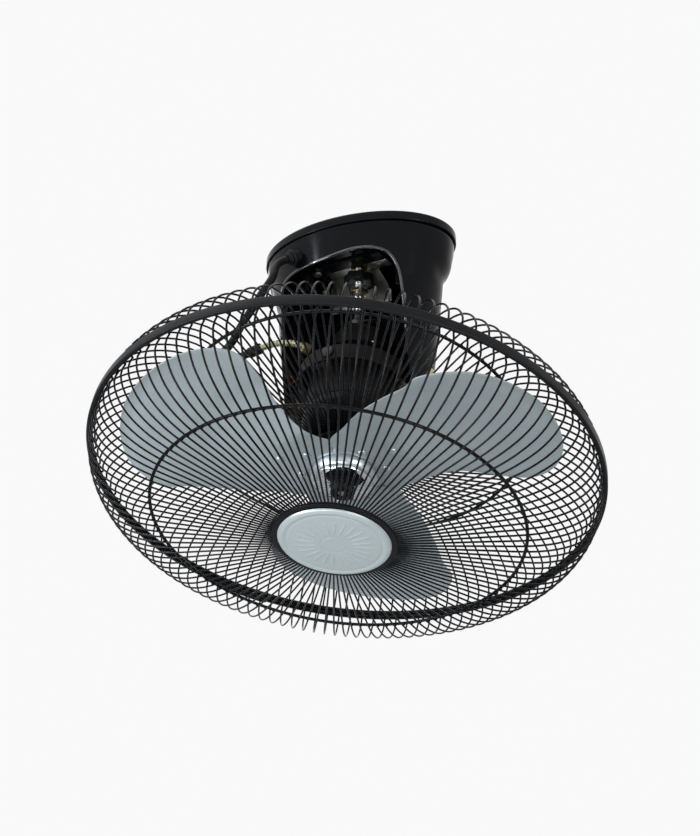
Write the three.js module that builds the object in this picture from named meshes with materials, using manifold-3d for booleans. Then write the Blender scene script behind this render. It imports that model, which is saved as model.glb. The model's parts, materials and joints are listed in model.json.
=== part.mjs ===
// Orbital ceiling fan: an oval canopy with two legs, a gimbal ring between the legs, and a
// caged 400 mm fan head whose tail crank walks round the canopy's centre stud.
// Millimetres, +Z up. The origin is the centre of the face that meets the ceiling. The legs
// stand on the X axis, a tall arch is open to -Y and a low one to +Y. The head is stored tipped
// to -Y.
import * as THREE from 'three';
import { mergeVertices } from 'three/addons/utils/BufferGeometryUtils.js';
import Module from 'manifold-3d';

const wasm = await Module();
wasm.setup();

// ---------------------------------------------------------------- driving dimensions
const GAP = 0.3;                 // between pieces that touch
const PIVOT_DROP = 152;          // ceiling face to the crossing of the two tilt axes
const TIP_X = -17.2;             // stored tip of the ring about X, degrees
const TIP_Y = -2.6;              // stored tip of the head about the ring's cross pins

// canopy
const PLATE_A = 100.5;           // ceiling plate, half length along X
const PLATE_B = 67.3;            // ceiling plate, half width along Y
const PLATE_T = 2.5;             // its sheet
const PLATE_RIM = 9;             // its turned-down rim
const PLATE_WALL = 2.2;
const FIX_HOLE_R = 3;            // ceiling screw holes
const FIX_X = 62, FIX_Y = 30;    // their places
const CABLE_HOLE_R = 9, CABLE_X = -34, CABLE_Y = 26;
const WALL = 3.2;                // housing wall and roof
const SKIN = [                   // housing outside: height, half length along X
  [-10.5, 98.6], [-34, 95], [-41, 92], [-48, 87.6], [-62, 86], [-108, 81.4], [-152, 76],
  [-176, 73.2]];
const LEG_END_R = 23;            // rounded end of a leg, about its screw
const ARCH = [                   // half of the front arch between the legs: x, height
  [67, -200], [67, -86], [66.2, -68], [63, -53], [54, -41.5], [38, -35.5], [14, -34]];
const REAR_ARCH = [              // half of the rear one, which leaves a wall behind the motor
  [67, -200], [67, -146], [58, -134], [40, -125], [14, -121]];
const ROOF_SCREW_X = 48, ROOF_SCREW_R = 2.5;

// bracket, stud and what sits on the stud
const BRACKET_W = 68, BRACKET_T = 2, BRACKET_X = -6, BRACKET_Y = 16.5, BRACKET_H = 41;
const BRACKET_REACH = 30;
const STUD_R = 4, STUD_END = -57, STUD_BALL_R = 5.4, STUD_BALL_H = 8.6;
const NUT_AF_R = 8, NUT_H = 6.5, NUT_LOWER_R = 9.2, NUT_LOWER_H = 4.6;
const KNOB_R = 15, KNOB_H = 9.5, KNOB_LOBES = 7, KNOB_TOP = -28;

// cord
const CORD_R = 3.75;
const GROMMET_AT = [-35.5, -60.6, -28.5];
const GROMMET_DIR = [-0.48, -0.74, -0.47];
const GROMMET_R = 6.4, GROMMET_LEN = 10, GROMMET_FLANGE_R = 8.6;
const CORD_UPPER = [[-45.1, -78.7, -43.6], [-44.5, -85, -58.8], [-50.5, -91, -75.6],
  [-59, -94.6, -92.8], [-69.6, -96.1, -109.1]];
const CORD_SPLIT = [-82, -94.6, -124.6];
const CORD_LOWER = [[-97.3, -92.2, -132.2], [-115, -86.3, -131.7], [-122.6, -70.1, -125.5],
  [-114.3, -55.1, -118.5]];

// gimbal
const MOTOR_R = 47, MOTOR_WALL = 3.4;
const RING_RI = MOTOR_R + 8.5, RING_T = 3, RING_H = 17;
const PIVOT_R = 4, PIVOT_HEAD_R = 7, PIVOT_HEAD_H = 4, BUSH_R = 8;
const CROSS_HEAD_R = 6.2, CROSS_HEAD_H = 3, CROSS_PIN_IN = MOTOR_R - 2.8;

// motor, along its own axis: heights above the gimbal centre, the fan faces down
const SHELL_LOW = -39, SHELL_TOP = 7.4;
const FRONT_NOSE = -82.7, NOSE_SEAT = -76.5, REAR_TOP = 36;
const BOSS_R = 7, BOSS_TIP = RING_RI - 0.9;
const SHAFT_R = 4, SHAFT_TAIL_R = 2.5, SHAFT_TIP = -119.5, SHAFT_TAIL_FROM = 36;
const CORE_R = MOTOR_R - MOTOR_WALL - 0.4, CORE_BORE = CORE_R - 19.2;
const CORE_LOW = -30, CORE_TOP = -4;
const WIND_R = CORE_R - 4.2, WIND_BORE = CORE_BORE + 3, WIND_H = 7, WIND_SLOT = 3.6, WIND_SLOTS = 4;
const ROTOR_R = CORE_BORE - 0.4;
const BEARING_R = 11, BEARING_H = 7, BEARING_FRONT = -74, BEARING_REAR = 26;

// gear train behind the motor
const GEARBOX_R = 32, GEARBOX_CAVITY = 28, GEARBOX_TOP = 54.5, COVER_T = 3;
const WORM_R = 4.2, WORM_LOW = 39, WORM_TOP = 49.5, WORM_PITCH = 3.4;
const GEAR_Z = 45;               // height of the cross shaft and of both worm meshes
const CROSS_Y = 10.8, CROSS_R = 2, WHEEL1_TEETH = 14;
const WORM2_R = 3.8, WHEEL2_TEETH = 14;
const MODULE = 1, PINION_TEETH = 10, OUT_TEETH = 22;
const OUT_GEAR_LOW = 51.7, OUT_GEAR_H = 2.4, OUT_R = 4;
const CRANK_LIFT = 0.6, CRANK_T = 4.5, CRANK_W = 14;
const CRANK_PIN_R = 3, CRANK_PIN_TOP = 87.5, CRANK_BALL_R = 4.4, CRANK_BALL_H = 7;

// cord inlet on the motor's side, in the head's own frame
const INLET_AT = [-0.728 * MOTOR_R, -0.872 * MOTOR_R, 28];      // on the side of the motor
const INLET_PATH = [[0, 0, 0], [-5.3, -8.4, 1.2], [-14.3, -14.4, 1.8], [-25.8, -17.8, 2],
  [-38.8, -19, 1], [-51.2, -18.7, -0.8]].map((p) => p.map((v, i) => v + INLET_AT[i]));
const INLET_R = 3.4, INLET_WALL = 0.9, INLET_NUT_R = 5.6, INLET_NUT_H = 7;
const SLEEVE_R = 5.2, SLEEVE_LEN = 15;

// blades and hub
const BLADES = 3, BLADE_T = 1.2, BLADE_PHASE = 230;
const SPIDER_Z = -95.4, SPIDER_T = 2.4;
const SPIDER_R = 40, SPIDER_ARM = 26.5, ARM_HALF = 27, ARM_AT = -6;   // arms between scallops
const BLADE_FLAT = 68;           // the riveted root is flat this far out
const BLADE_ROWS = [             // r, trailing and leading edge in degrees, their heights from
  [33, 50, -60, 0, 0], [48, 52.2, -66.2, 0, 0],                        // the riveted root
  [BLADE_FLAT, 36.5, -53.2, 0, 0], [86, 32.6, -46.2, 5.6, -1], [106, 32.4, -40.5, 9.9, -3.3],
  [128, 34.5, -35.5, 11.5, -6.5], [164, 34.3, -31.2, 11, -12.6], [185, 29, -26, 8.5, -12.5],
  [198, 18, -17, 4.5, -9.5], [204, 6, -7, 0.5, -5.5]];
const BLADE_COLS = 4, BLADE_CAMBER = 3.2;
const RIVET_R = 1.9, RIVET_HEAD_R = 3.4, RIVETS = [[60.2, -7.4], [41.5, 13.8]];
const HUB_R = 30.9, HUB_FRONT = -107, CAP_FRONT = -114.2, HUB_KNOB_R = 10.6, HUB_KNOB_H = 6.4;

// guards
const RIM_Z = -106;              // mid plane of the rim band; guard heights count from it, away
const BAND_R = 231.5, BAND_T = 1.5, BAND_W = 9.2, BAND_LIP = 3.2, LIP_T = 0.95;  // from blades
const BAND_SIDES = 48;
const WIRES = 120, WIRE_R = 1.15;
const RIM_WIRE = 3, HOOP_SIDES = 48, HOOP_DROP = 0.8;
const FRONT_RING = [43.5, 55], FRONT_RING_Z = 63.2, RING_PLATE_T = 2.6;
const FRONT_WIRE = [[164.5, 53], [206, 42], [225.5, 20]];
const FRONT_HOOP_R = 164.5;
const REAR_RING = [32, 36.5], REAR_RING_Z = 27.9;
const REAR_WIRE = [[158.5, 60.4], [202, 45.5], [227, 17]];
const REAR_HOOP_R = 158.5;
const WELDS = 4;
const GUARD_NUT_R = 40, GUARD_NUT_H = 3.2;
const BADGE_R = 49.8, BADGE_T = 2.2, BADGE_CROWN = 1.6;
const RETAINER_T = 2.4, RETAINER_BOSS_R = 9;
const CLAMP_AT = 147, CLAMP_SPAN = 17, CLAMP_T = 1.4, CLAMP_W = 10.5, CLAMP_SCREW_R = 1.8;

// ---------------------------------------------------------------- materials
const mat = (color, roughness, metalness) =>
  new THREE.MeshStandardMaterial({ color, roughness, metalness });
const BLACK_GLOSS = [0x0b0c0e, 0.22, 0.0];
const BLACK_SATIN = [0x24272b, 0.45, 0.1];
const BLACK_MATT = [0x121314, 0.75, 0.0];
const WIRE_BLACK = [0x15171a, 0.3, 0.3];
const ZINC = [0xa6a7a3, 0.42, 0.9];
const YELLOW_ZINC = [0x9c9168, 0.35, 0.9];
const BRASS = [0xb08d4c, 0.32, 1.0];
const BRONZE = [0x9a6a3e, 0.4, 1.0];
const STEEL = [0xb9bcc0, 0.3, 1.0];
const GREY_CAST = [0x55544f, 0.55, 0.5];
const ALU = [0x9aa4a8, 0.38, 0.7];
const CHROME = [0xd5d8dc, 0.12, 1.0];
const COPPER = [0xa4572b, 0.4, 1.0];
const BADGE_GREY = [0xafb9be, 0.42, 0.5];
const RUBBER = [0x0e0e0f, 0.8, 0.0];
const NYLON = [0xcfc9b4, 0.55, 0.0];

// ---------------------------------------------------------------- solids and booleans
const TAU = Math.PI * 2;
const rad = (d) => (d * Math.PI) / 180;

// signed volume tells which way the faces look; a shape built inside out is turned
function outward(g) {
  const p = g.attributes.position, ix = g.index;
  let v = 0;
  const a = new THREE.Vector3(), b = new THREE.Vector3(), c = new THREE.Vector3();
  for (let i = 0; i < ix.count; i += 3) {
    a.fromBufferAttribute(p, ix.getX(i));
    b.fromBufferAttribute(p, ix.getX(i + 1));
    c.fromBufferAttribute(p, ix.getX(i + 2));
    v += a.dot(b.cross(c));
  }
  if (v < 0) {
    for (let i = 0; i < ix.count; i += 3) {
      const t = ix.getX(i);
      ix.setX(i, ix.getX(i + 1));
      ix.setX(i + 1, t);
    }
  }
  return g;
}

function closed(g) {
  g.deleteAttribute('normal');
  g.deleteAttribute('uv');
  return outward(mergeVertices(g, 1e-4));
}

function solid(g) {
  const m = closed(g);
  return new wasm.Manifold(new wasm.Mesh({
    numProp: 3,
    vertProperties: new Float32Array(m.attributes.position.array),
    triVerts: new Uint32Array(m.index.array),
  }));
}

function geometry(s) {
  const m = s.getMesh(), g = new THREE.BufferGeometry();
  g.setAttribute('position', new THREE.BufferAttribute(new Float32Array(m.vertProperties), 3));
  g.setIndex(new THREE.BufferAttribute(new Uint32Array(m.triVerts), 1));
  return g;
}

const cut = (s, ...tools) => tools.reduce((r, t) => r.subtract(t), s);
const join = (s, ...more) => more.reduce((r, t) => r.add(t), s);

// a shape turned about Z from a profile of [r, z]; a loop is closed by its first point
function turned(profile, sides = 32, loop = false) {
  const pts = profile.map(([r, z]) => new THREE.Vector2(r, z));
  if (loop) pts.push(pts[0].clone());
  return new THREE.LatheGeometry(pts, sides).rotateX(Math.PI / 2);
}
const rod = (r, z0, z1, sides = 20) => turned([[0, z0], [r, z0], [r, z1], [0, z1]], sides);
const pipe = (ri, ro, z0, z1, sides = 32) =>
  turned([[ri, z0], [ro, z0], [ro, z1], [ri, z1]], sides, true);
const box = (x0, x1, y0, y1, z0, z1) =>
  new THREE.BoxGeometry(x1 - x0, y1 - y0, z1 - z0)
    .translate((x0 + x1) / 2, (y0 + y1) / 2, (z0 + z1) / 2);
// the same shapes laid along X, along Y or along any direction from a point
const alongX = (g) => g.rotateY(Math.PI / 2);
const alongY = (g) => g.rotateX(-Math.PI / 2);
function aimed(g, at, dir) {
  const q = new THREE.Quaternion().setFromUnitVectors(
    new THREE.Vector3(0, 0, 1), new THREE.Vector3(...dir).normalize());
  return g.applyQuaternion(q).translate(...at);
}
function extruded(points, depth, holes = []) {
  const s = new THREE.Shape(points.map(([x, y]) => new THREE.Vector2(x, y)));
  for (const h of holes) s.holes.push(new THREE.Path(h.map(([x, y]) => new THREE.Vector2(x, y))));
  return new THREE.ExtrudeGeometry(s, { depth, bevelEnabled: false });
}
const circle = (r, n, x = 0, y = 0) => Array.from({ length: n }, (_, i) =>
  [x + r * Math.cos((TAU * i) / n), y + r * Math.sin((TAU * i) / n)]);

// a round tube along a smooth route
function along(points, r, sides, steps) {
  const curve = new THREE.CatmullRomCurve3(points.map((p) => new THREE.Vector3(...p)));
  const s = new THREE.Shape(circle(r, sides).map(([x, y]) => new THREE.Vector2(x, y)));
  return new THREE.ExtrudeGeometry(s, { steps, extrudePath: curve, bevelEnabled: false });
}

// ---------------------------------------------------------------- scene
const fan = new THREE.Group();
const ringFrame = new THREE.Group();     // tips about X
ringFrame.position.set(0, 0, -PIVOT_DROP);
ringFrame.rotation.x = rad(TIP_X);
const headFrame = new THREE.Group();     // tips about the ring's own Y
headFrame.rotation.y = rad(TIP_Y);
fan.add(ringFrame);
ringFrame.add(headFrame);
fan.updateMatrixWorld(true);

function piece(name, shape, look, parent = fan) {
  const g = shape.isBufferGeometry ? closed(shape) : geometry(shape);
  const m = new THREE.Mesh(g, mat(...look));
  m.name = name;
  parent.add(m);
  return m;
}

// ---------------------------------------------------------------- canopy
const OVAL = PLATE_B / PLATE_A;
const OVAL_SIDES = 36;
function skinAt(z) {
  for (let i = 1; i < SKIN.length; i++) {
    const [z1, a1] = SKIN[i - 1], [z2, a2] = SKIN[i];
    if (z >= z2) return a1 + ((a2 - a1) * (z1 - z)) / (z1 - z2);
  }
  return SKIN.at(-1)[1];
}
// a stack of ovals: rows of [height, half length, half width]
function ovalStack(rows, n = OVAL_SIDES) {
  const pos = [], idx = [];
  for (const [z, a, b] of rows) {
    for (let i = 0; i < n; i++) {
      pos.push(a * Math.cos((TAU * i) / n), b * Math.sin((TAU * i) / n), z);
    }
  }
  const top = pos.length / 3;
  pos.push(0, 0, rows[0][0]);
  pos.push(0, 0, rows[rows.length - 1][0]);
  for (let k = 0; k + 1 < rows.length; k++) {
    for (let i = 0; i < n; i++) {
      const a = k * n + i, b = k * n + ((i + 1) % n), c = a + n, d = b + n;
      idx.push(a, b, c, b, d, c);
    }
  }
  const last = (rows.length - 1) * n;
  for (let i = 0; i < n; i++) {
    idx.push(top, (i + 1) % n, i, top + 1, last + i, last + ((i + 1) % n));
  }
  const g = new THREE.BufferGeometry();
  g.setAttribute('position', new THREE.BufferAttribute(new Float32Array(pos), 3));
  g.setIndex(idx);
  return g;
}

const legOut = skinAt(-PIVOT_DROP);      // the leg's outer and inner face at its screw
const legIn = legOut - WALL;
const fixHoles = [[1, 1], [1, -1], [-1, 1], [-1, -1]].map(([i, j]) =>
  solid(rod(FIX_HOLE_R, -PLATE_T - 1, 1, 8).translate(i * FIX_X, j * FIX_Y, 0)));
const plate = cut(
  solid(ovalStack([[0, PLATE_A - 1, PLATE_B - 1], [-1.2, PLATE_A, PLATE_B],
    [-PLATE_RIM, PLATE_A, PLATE_B]])),
  solid(ovalStack([[-PLATE_T, PLATE_A - PLATE_WALL, PLATE_B - PLATE_WALL],
    [-PLATE_RIM - 1, PLATE_A - PLATE_WALL, PLATE_B - PLATE_WALL]])),
  solid(rod(CABLE_HOLE_R, -PLATE_T - 1, 1, 12).translate(CABLE_X, CABLE_Y, 0)),
  ...fixHoles);
piece('ceiling_plate', plate, BLACK_GLOSS);

const ROOF_TOP = -PLATE_RIM - GAP;
const ROOF = ROOF_TOP - WALL;            // underside of the housing's roof
const outerRows = [[ROOF_TOP, SKIN[0][1] - 1, (SKIN[0][1] - 1) * OVAL],
  ...SKIN.map(([z, a]) => [z, a, a * OVAL])];
const innerRows = [[ROOF, skinAt(ROOF) - WALL, skinAt(ROOF) * OVAL - WALL],
  ...SKIN.filter(([z]) => z < ROOF - 4).map(([z, a]) => [z, a - WALL, a * OVAL - WALL])];
const [skinLow, legEndA] = SKIN.at(-1);
innerRows.push([skinLow - 5, legEndA - WALL, legEndA * OVAL - WALL]);
const archCut = (half, y) => solid(extruded(
  [...half, ...half.slice().reverse().map(([x, z]) => [-x, z])], 2 * PLATE_B)
  .rotateX(Math.PI / 2).translate(0, y, 0));
const arches = [archCut(ARCH, 0), archCut(REAR_ARCH, 2 * PLATE_B)];
const legEnd = [[2 * PLATE_B, 10], [-2 * PLATE_B, 10], [-2 * PLATE_B, -PIVOT_DROP + LEG_END_R],
  [-LEG_END_R * 1.45, -PIVOT_DROP + LEG_END_R]];
for (let k = 0; k <= 8; k++) {
  const t = Math.PI + (Math.PI * k) / 8;
  legEnd.push([LEG_END_R * Math.cos(t), -PIVOT_DROP + LEG_END_R * Math.sin(t)]);
}
legEnd.push([LEG_END_R * 1.45, -PIVOT_DROP + LEG_END_R],
  [2 * PLATE_B, -PIVOT_DROP + LEG_END_R]);
const legKeep = solid(extruded(legEnd, 3 * PLATE_A).rotateX(Math.PI / 2).rotateZ(Math.PI / 2)
  .translate(-1.5 * PLATE_A, 0, 0));
const spotFaces = [1, -1].map((s) => solid(alongX(rod(PIVOT_HEAD_R + 0.8, legOut - 0.2,
  PLATE_A + 5, 12)).scale(s, 1, 1).translate(0, 0, -PIVOT_DROP)));
const grommetHole = solid(aimed(rod(GROMMET_R + GAP, -14, 8, 12), GROMMET_AT, GROMMET_DIR));
const pivotHoles = [1, -1].map((s) => solid(
  alongX(rod(PIVOT_R + GAP + 0.1, 0, PLATE_A, 12)).scale(s, 1, 1).translate(0, 0, -PIVOT_DROP)));
const roofHoles = [1, -1].map((s) =>
  solid(rod(ROOF_SCREW_R + GAP, ROOF - 2, 0, 10).translate(s * ROOF_SCREW_X, 0, 0)));
const studHole = solid(rod(STUD_R + GAP, ROOF - 2, 0, 12));
const housing = cut(solid(ovalStack(outerRows)), solid(ovalStack(innerRows)), ...arches,
  grommetHole, ...spotFaces, ...pivotHoles, ...roofHoles, studHole,
  solid(rod(CABLE_HOLE_R, ROOF - 2, 0, 12).translate(CABLE_X, CABLE_Y, 0))).intersect(legKeep);
piece('canopy_housing', housing, BLACK_GLOSS);

for (const [name, s] of [['roof_screw_right', 1], ['roof_screw_left', -1]]) {
  piece(name, turned([[0, -PLATE_T - GAP], [ROOF_SCREW_R, -PLATE_T - GAP],
    [ROOF_SCREW_R, ROOF - GAP], [5, ROOF - GAP], [4.6, ROOF - 2.4], [2.6, ROOF - 3.2],
    [0, ROOF - 3.2]], 12).translate(s * ROOF_SCREW_X, 0, 0), STEEL);
}

// ---------------------------------------------------------------- bracket, stud, nuts, knob
const SEAT = ROOF - GAP;                 // top of the bracket, under the roof
const w = BRACKET_W / 2, low = SEAT - BRACKET_H;
const bracketFlange = cut(
  solid(box(-w, w, BRACKET_Y + BRACKET_T - BRACKET_REACH, BRACKET_Y + BRACKET_T,
    SEAT - BRACKET_T, SEAT).translate(BRACKET_X, 0, 0)),
  solid(rod(STUD_R + GAP, SEAT - BRACKET_T - 1, SEAT + 1, 16)));
const bracketWeb = solid(extruded([[-w, SEAT], [-w, low], [w - 1, low], [w - 3, low + 12],
  [w - 8, low + 24], [w - 15, SEAT - 4], [w - 15, SEAT]], BRACKET_T)
  .rotateX(Math.PI / 2).translate(BRACKET_X, BRACKET_Y + BRACKET_T, 0));
piece('hanger_bracket', join(bracketFlange, bracketWeb), ZINC);

const STUD_TOP = ROOF_TOP + 6;           // stands up into the hollow of the ceiling plate
const ballLow = STUD_END + STUD_BALL_H;
piece('centre_stud', turned([[0, STUD_TOP], [STUD_R, STUD_TOP], [STUD_R, ballLow],
  [STUD_BALL_R, STUD_END + STUD_BALL_H * 0.65], [STUD_BALL_R, STUD_END + STUD_BALL_H * 0.35],
  [STUD_R * 0.8, STUD_END + 0.7], [0, STUD_END]], 16), STEEL);
const hex = (r, z0, z1, bore) => cut(solid(extruded(circle(r, 6), z1 - z0).translate(0, 0, z0)),
  solid(rod(bore, z0 - 1, z1 + 1, 12)));
const nutTop = SEAT - BRACKET_T - GAP;
piece('stud_nut_upper', hex(NUT_AF_R, nutTop - NUT_H, nutTop, STUD_R + GAP), BRASS);
const lobes = [];
for (let i = 0; i < KNOB_LOBES * 4; i++) {
  const t = (TAU * i) / (KNOB_LOBES * 4);
  const r = KNOB_R - 2.4 * (0.5 - 0.5 * Math.cos(KNOB_LOBES * t));
  lobes.push([r * Math.cos(t), r * Math.sin(t)]);
}
const knobLow = KNOB_TOP - KNOB_H;
piece('stud_knob', cut(solid(extruded(lobes, KNOB_H).translate(0, 0, knobLow)),
  solid(rod(STUD_R + GAP, knobLow - 1, KNOB_TOP + 1, 12))), BLACK_MATT);
const nutLow = ballLow + GAP;
piece('stud_nut_lower', cut(solid(turned([[0, nutLow + NUT_LOWER_H], [6.6, nutLow + NUT_LOWER_H],
  [7, nutLow + 1.8], [NUT_LOWER_R, nutLow + 1.4], [NUT_LOWER_R, nutLow], [0, nutLow]], 12)),
solid(rod(STUD_R + GAP, nutLow - 1, nutLow + NUT_LOWER_H + 1, 12))), BRASS);

// wiring in the roof
piece('terminal_block', box(-60, -30, 30, 42, SEAT - 12, SEAT), NYLON);
piece('capacitor', box(26, 54, 24, 40, SEAT - 21, SEAT), BLACK_MATT);

// grommet: a ribbed strain relief through the front wall
const grommetProfile = [
  [CORD_R + 0.5, -8], [GROMMET_R, -8], [GROMMET_R, 3.4],
  [GROMMET_FLANGE_R, 3.6], [GROMMET_FLANGE_R, 5.6], [GROMMET_R - 1.2, 6],
  [GROMMET_R + 0.4, 6.8], [GROMMET_R + 0.3, 8.2], [GROMMET_R - 1.3, 8.8],
  [GROMMET_R - 1.4, GROMMET_LEN], [CORD_R + 0.5, GROMMET_LEN]];
piece('cord_grommet', aimed(turned(grommetProfile, 10, true), GROMMET_AT, GROMMET_DIR), RUBBER);

// ---------------------------------------------------------------- leg pivots
const RING_RO = RING_RI + RING_T;
for (const [side, s] of [['right', 1], ['left', -1]]) {
  const screw = turned([[0, RING_RI + GAP], [PIVOT_R, RING_RI + GAP],
    [PIVOT_R, legOut + 0.1], [PIVOT_HEAD_R, legOut + 0.1],
    [PIVOT_HEAD_R, legOut + PIVOT_HEAD_H - 1], [PIVOT_HEAD_R - 2, legOut + PIVOT_HEAD_H],
    [0, legOut + PIVOT_HEAD_H]], 12);
  piece(`leg_screw_${side}`, alongX(screw).scale(s, 1, 1).translate(0, 0, -PIVOT_DROP), BRASS);
  piece(`leg_bush_${side}`, alongX(pipe(PIVOT_R + GAP, BUSH_R, RING_RO + GAP,
    legIn - GAP - 1.2, 12)).scale(s, 1, 1).translate(0, 0, -PIVOT_DROP), BRONZE);
}
const earthX = -72.75;
piece('earth_screw', alongX(turned([[0, 0], [6, 0], [6, 1.2], [4.4, 1.6], [4.4, 4.2],
  [3, 5.2], [0, 5.2]], 12)).translate(earthX, -6, -126), COPPER);

// ---------------------------------------------------------------- cord
const gd = new THREE.Vector3(...GROMMET_DIR).normalize();
const gPoint = (d) => [0, 1, 2].map((i) => GROMMET_AT[i] + gd.getComponent(i) * d);
const inletWorld = (p) => headFrame.localToWorld(new THREE.Vector3(...p));
const tipA = inletWorld(INLET_PATH.at(-2));
const tipB = inletWorld(INLET_PATH.at(-1));
const out = tipB.clone().sub(tipA).normalize();
const sleeveEnd = tipB.clone().addScaledVector(out, SLEEVE_LEN * 0.4 + GAP);
const sleeveRun = tipB.clone().addScaledVector(out, SLEEVE_LEN * 0.4 + GAP + 4);
const sd = new THREE.Vector3(...CORD_LOWER[0])
  .sub(new THREE.Vector3(...CORD_UPPER[CORD_UPPER.length - 1])).normalize();
const split = (d) => new THREE.Vector3(...CORD_SPLIT).addScaledVector(sd, d).toArray();
piece('supply_cord_upper', along([gPoint(GROMMET_LEN + GAP), gPoint(GROMMET_LEN + 4),
  ...CORD_UPPER, split(-4), split(-GAP / 2)], CORD_R, 8, 9), RUBBER);
piece('supply_cord_lower', along([split(GAP / 2), split(4), ...CORD_LOWER,
  sleeveRun.toArray(), sleeveEnd.toArray()], CORD_R, 8, 14), RUBBER, fan);

// ---------------------------------------------------------------- gimbal ring
const ringHoles = [0, 1].map((k) => solid(
  alongX(rod(PIVOT_R + GAP + 0.1, -RING_RO - 5, RING_RO + 5, 12)).rotateZ((k * Math.PI) / 2)));
piece('gimbal_ring', cut(solid(turned([[RING_RI, -RING_H / 2], [RING_RO, -RING_H / 2],
  [RING_RO, RING_H / 2], [RING_RI, RING_H / 2]], 32, true)), ...ringHoles), GREY_CAST, ringFrame);

for (const [side, s] of [['front', -1], ['rear', 1]]) {
  const pin = turned([[0, CROSS_PIN_IN], [PIVOT_R, CROSS_PIN_IN],
    [PIVOT_R, RING_RO + GAP], [CROSS_HEAD_R, RING_RO + GAP],
    [CROSS_HEAD_R, RING_RO + CROSS_HEAD_H], [0, RING_RO + CROSS_HEAD_H]], 12);
  piece(`ring_pin_${side}`, alongY(pin).scale(1, s, 1), STEEL, headFrame);
}

// ---------------------------------------------------------------- motor
const shellIn = MOTOR_R - MOTOR_WALL;
const bosses = [1, -1].map((s) => solid(
  alongY(rod(BOSS_R, MOTOR_R - 2.5, BOSS_TIP, 12)).scale(1, s, 1)));
const bossHoles = [1, -1].map((s) => solid(
  alongY(rod(PIVOT_R + GAP, shellIn - 1, BOSS_TIP + 3, 12)).scale(1, s, 1)));
piece('motor_housing', cut(join(solid(pipe(shellIn, MOTOR_R, SHELL_LOW, SHELL_TOP, 28)),
  ...bosses), ...bossHoles), GREY_CAST, headFrame);
const frontCover = cut(solid(turned([[0, SHELL_LOW - GAP], [MOTOR_R, SHELL_LOW - GAP],
  [MOTOR_R, -47], [MOTOR_R - 2.4, -57], [MOTOR_R - 7.4, -67], [MOTOR_R - 11.4, NOSE_SEAT],
  [REAR_RING[0] - GAP, NOSE_SEAT], [REAR_RING[0] - GAP, FRONT_NOSE], [0, FRONT_NOSE]], 28)),
solid(turned([[0, SHELL_LOW + 1], [shellIn, SHELL_LOW + 1], [shellIn, -46.6],
  [MOTOR_R - 6, -56], [MOTOR_R - 11.8, -66], [BEARING_R + GAP, -66], [BEARING_R + GAP, BEARING_FRONT - GAP],
  [SHAFT_R + 1.5, BEARING_FRONT - GAP], [SHAFT_R + 1.5, FRONT_NOSE - 1],
  [0, FRONT_NOSE - 1]], 18)));
piece('motor_front_cover', frontCover, BLACK_GLOSS, headFrame);
const inletDir = new THREE.Vector3(...INLET_PATH[1])
  .sub(new THREE.Vector3(...INLET_PATH[0])).normalize();
const inletHole = solid(aimed(rod(INLET_R + GAP, -16, 8, 12), INLET_PATH[0], inletDir.toArray()));
const inletBoss = solid(aimed(rod(INLET_NUT_R + 0.8, -9, -GAP, 14), INLET_PATH[0],
  inletDir.toArray()));
const rearOuter = solid(turned([[0, SHELL_TOP + GAP], [MOTOR_R, SHELL_TOP + GAP], [MOTOR_R, 16],
  [MOTOR_R - 2.6, 25], [GEARBOX_R + 1.5, REAR_TOP], [0, REAR_TOP]], 28));
const rearInner = solid(turned([[0, SHELL_TOP - 1], [shellIn, SHELL_TOP - 1], [shellIn, 16],
  [MOTOR_R - 5.4, 21.6], [MOTOR_R - 11, 24], [BEARING_R + GAP, 24], [BEARING_R + GAP, REAR_TOP - 3],
  [SHAFT_R + 2, REAR_TOP - 3], [SHAFT_R + 2, REAR_TOP + 1], [0, REAR_TOP + 1]], 18));
piece('motor_rear_cover', cut(join(rearOuter, inletBoss), rearInner, inletHole), BLACK_GLOSS,
  headFrame);

const core = cut(solid(pipe(CORE_BORE, CORE_R, CORE_LOW, CORE_TOP, 24)),
  ...Array.from({ length: WIND_SLOTS }, (_, i) => solid(box(WIND_BORE - 0.6, WIND_R + 0.6,
    -WIND_SLOT - GAP, WIND_SLOT + GAP, CORE_LOW - 1, CORE_TOP + 1)
    .rotateZ(rad(45) + (TAU * i) / WIND_SLOTS))));
piece('stator_core', core, STEEL, headFrame);
const bars = Array.from({ length: WIND_SLOTS }, (_, i) => solid(box(WIND_BORE, WIND_R,
  -WIND_SLOT, WIND_SLOT, CORE_LOW - GAP - 1, CORE_TOP + GAP + 1)
  .rotateZ(rad(45) + (TAU * i) / WIND_SLOTS)));
const coil = (z0, z1) => solid(turned([[WIND_BORE, z0], [WIND_BORE + 2, z0],
  [WIND_R, z0], [WIND_R, z1], [WIND_BORE, z1]], 20, true));
piece('stator_winding', join(coil(CORE_LOW - GAP - WIND_H, CORE_LOW - GAP),
  coil(CORE_TOP + GAP, CORE_TOP + GAP + WIND_H), ...bars), COPPER, headFrame);
piece('rotor_core', pipe(SHAFT_R + GAP, ROTOR_R, CORE_LOW, CORE_TOP, 18), STEEL, headFrame);
piece('bearing_front', pipe(SHAFT_R + GAP, BEARING_R, BEARING_FRONT, BEARING_FRONT + BEARING_H, 16),
  STEEL, headFrame);
piece('bearing_rear', pipe(SHAFT_R + GAP, BEARING_R, BEARING_REAR, BEARING_REAR + BEARING_H - 0.4,
  16), STEEL, headFrame);

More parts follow.
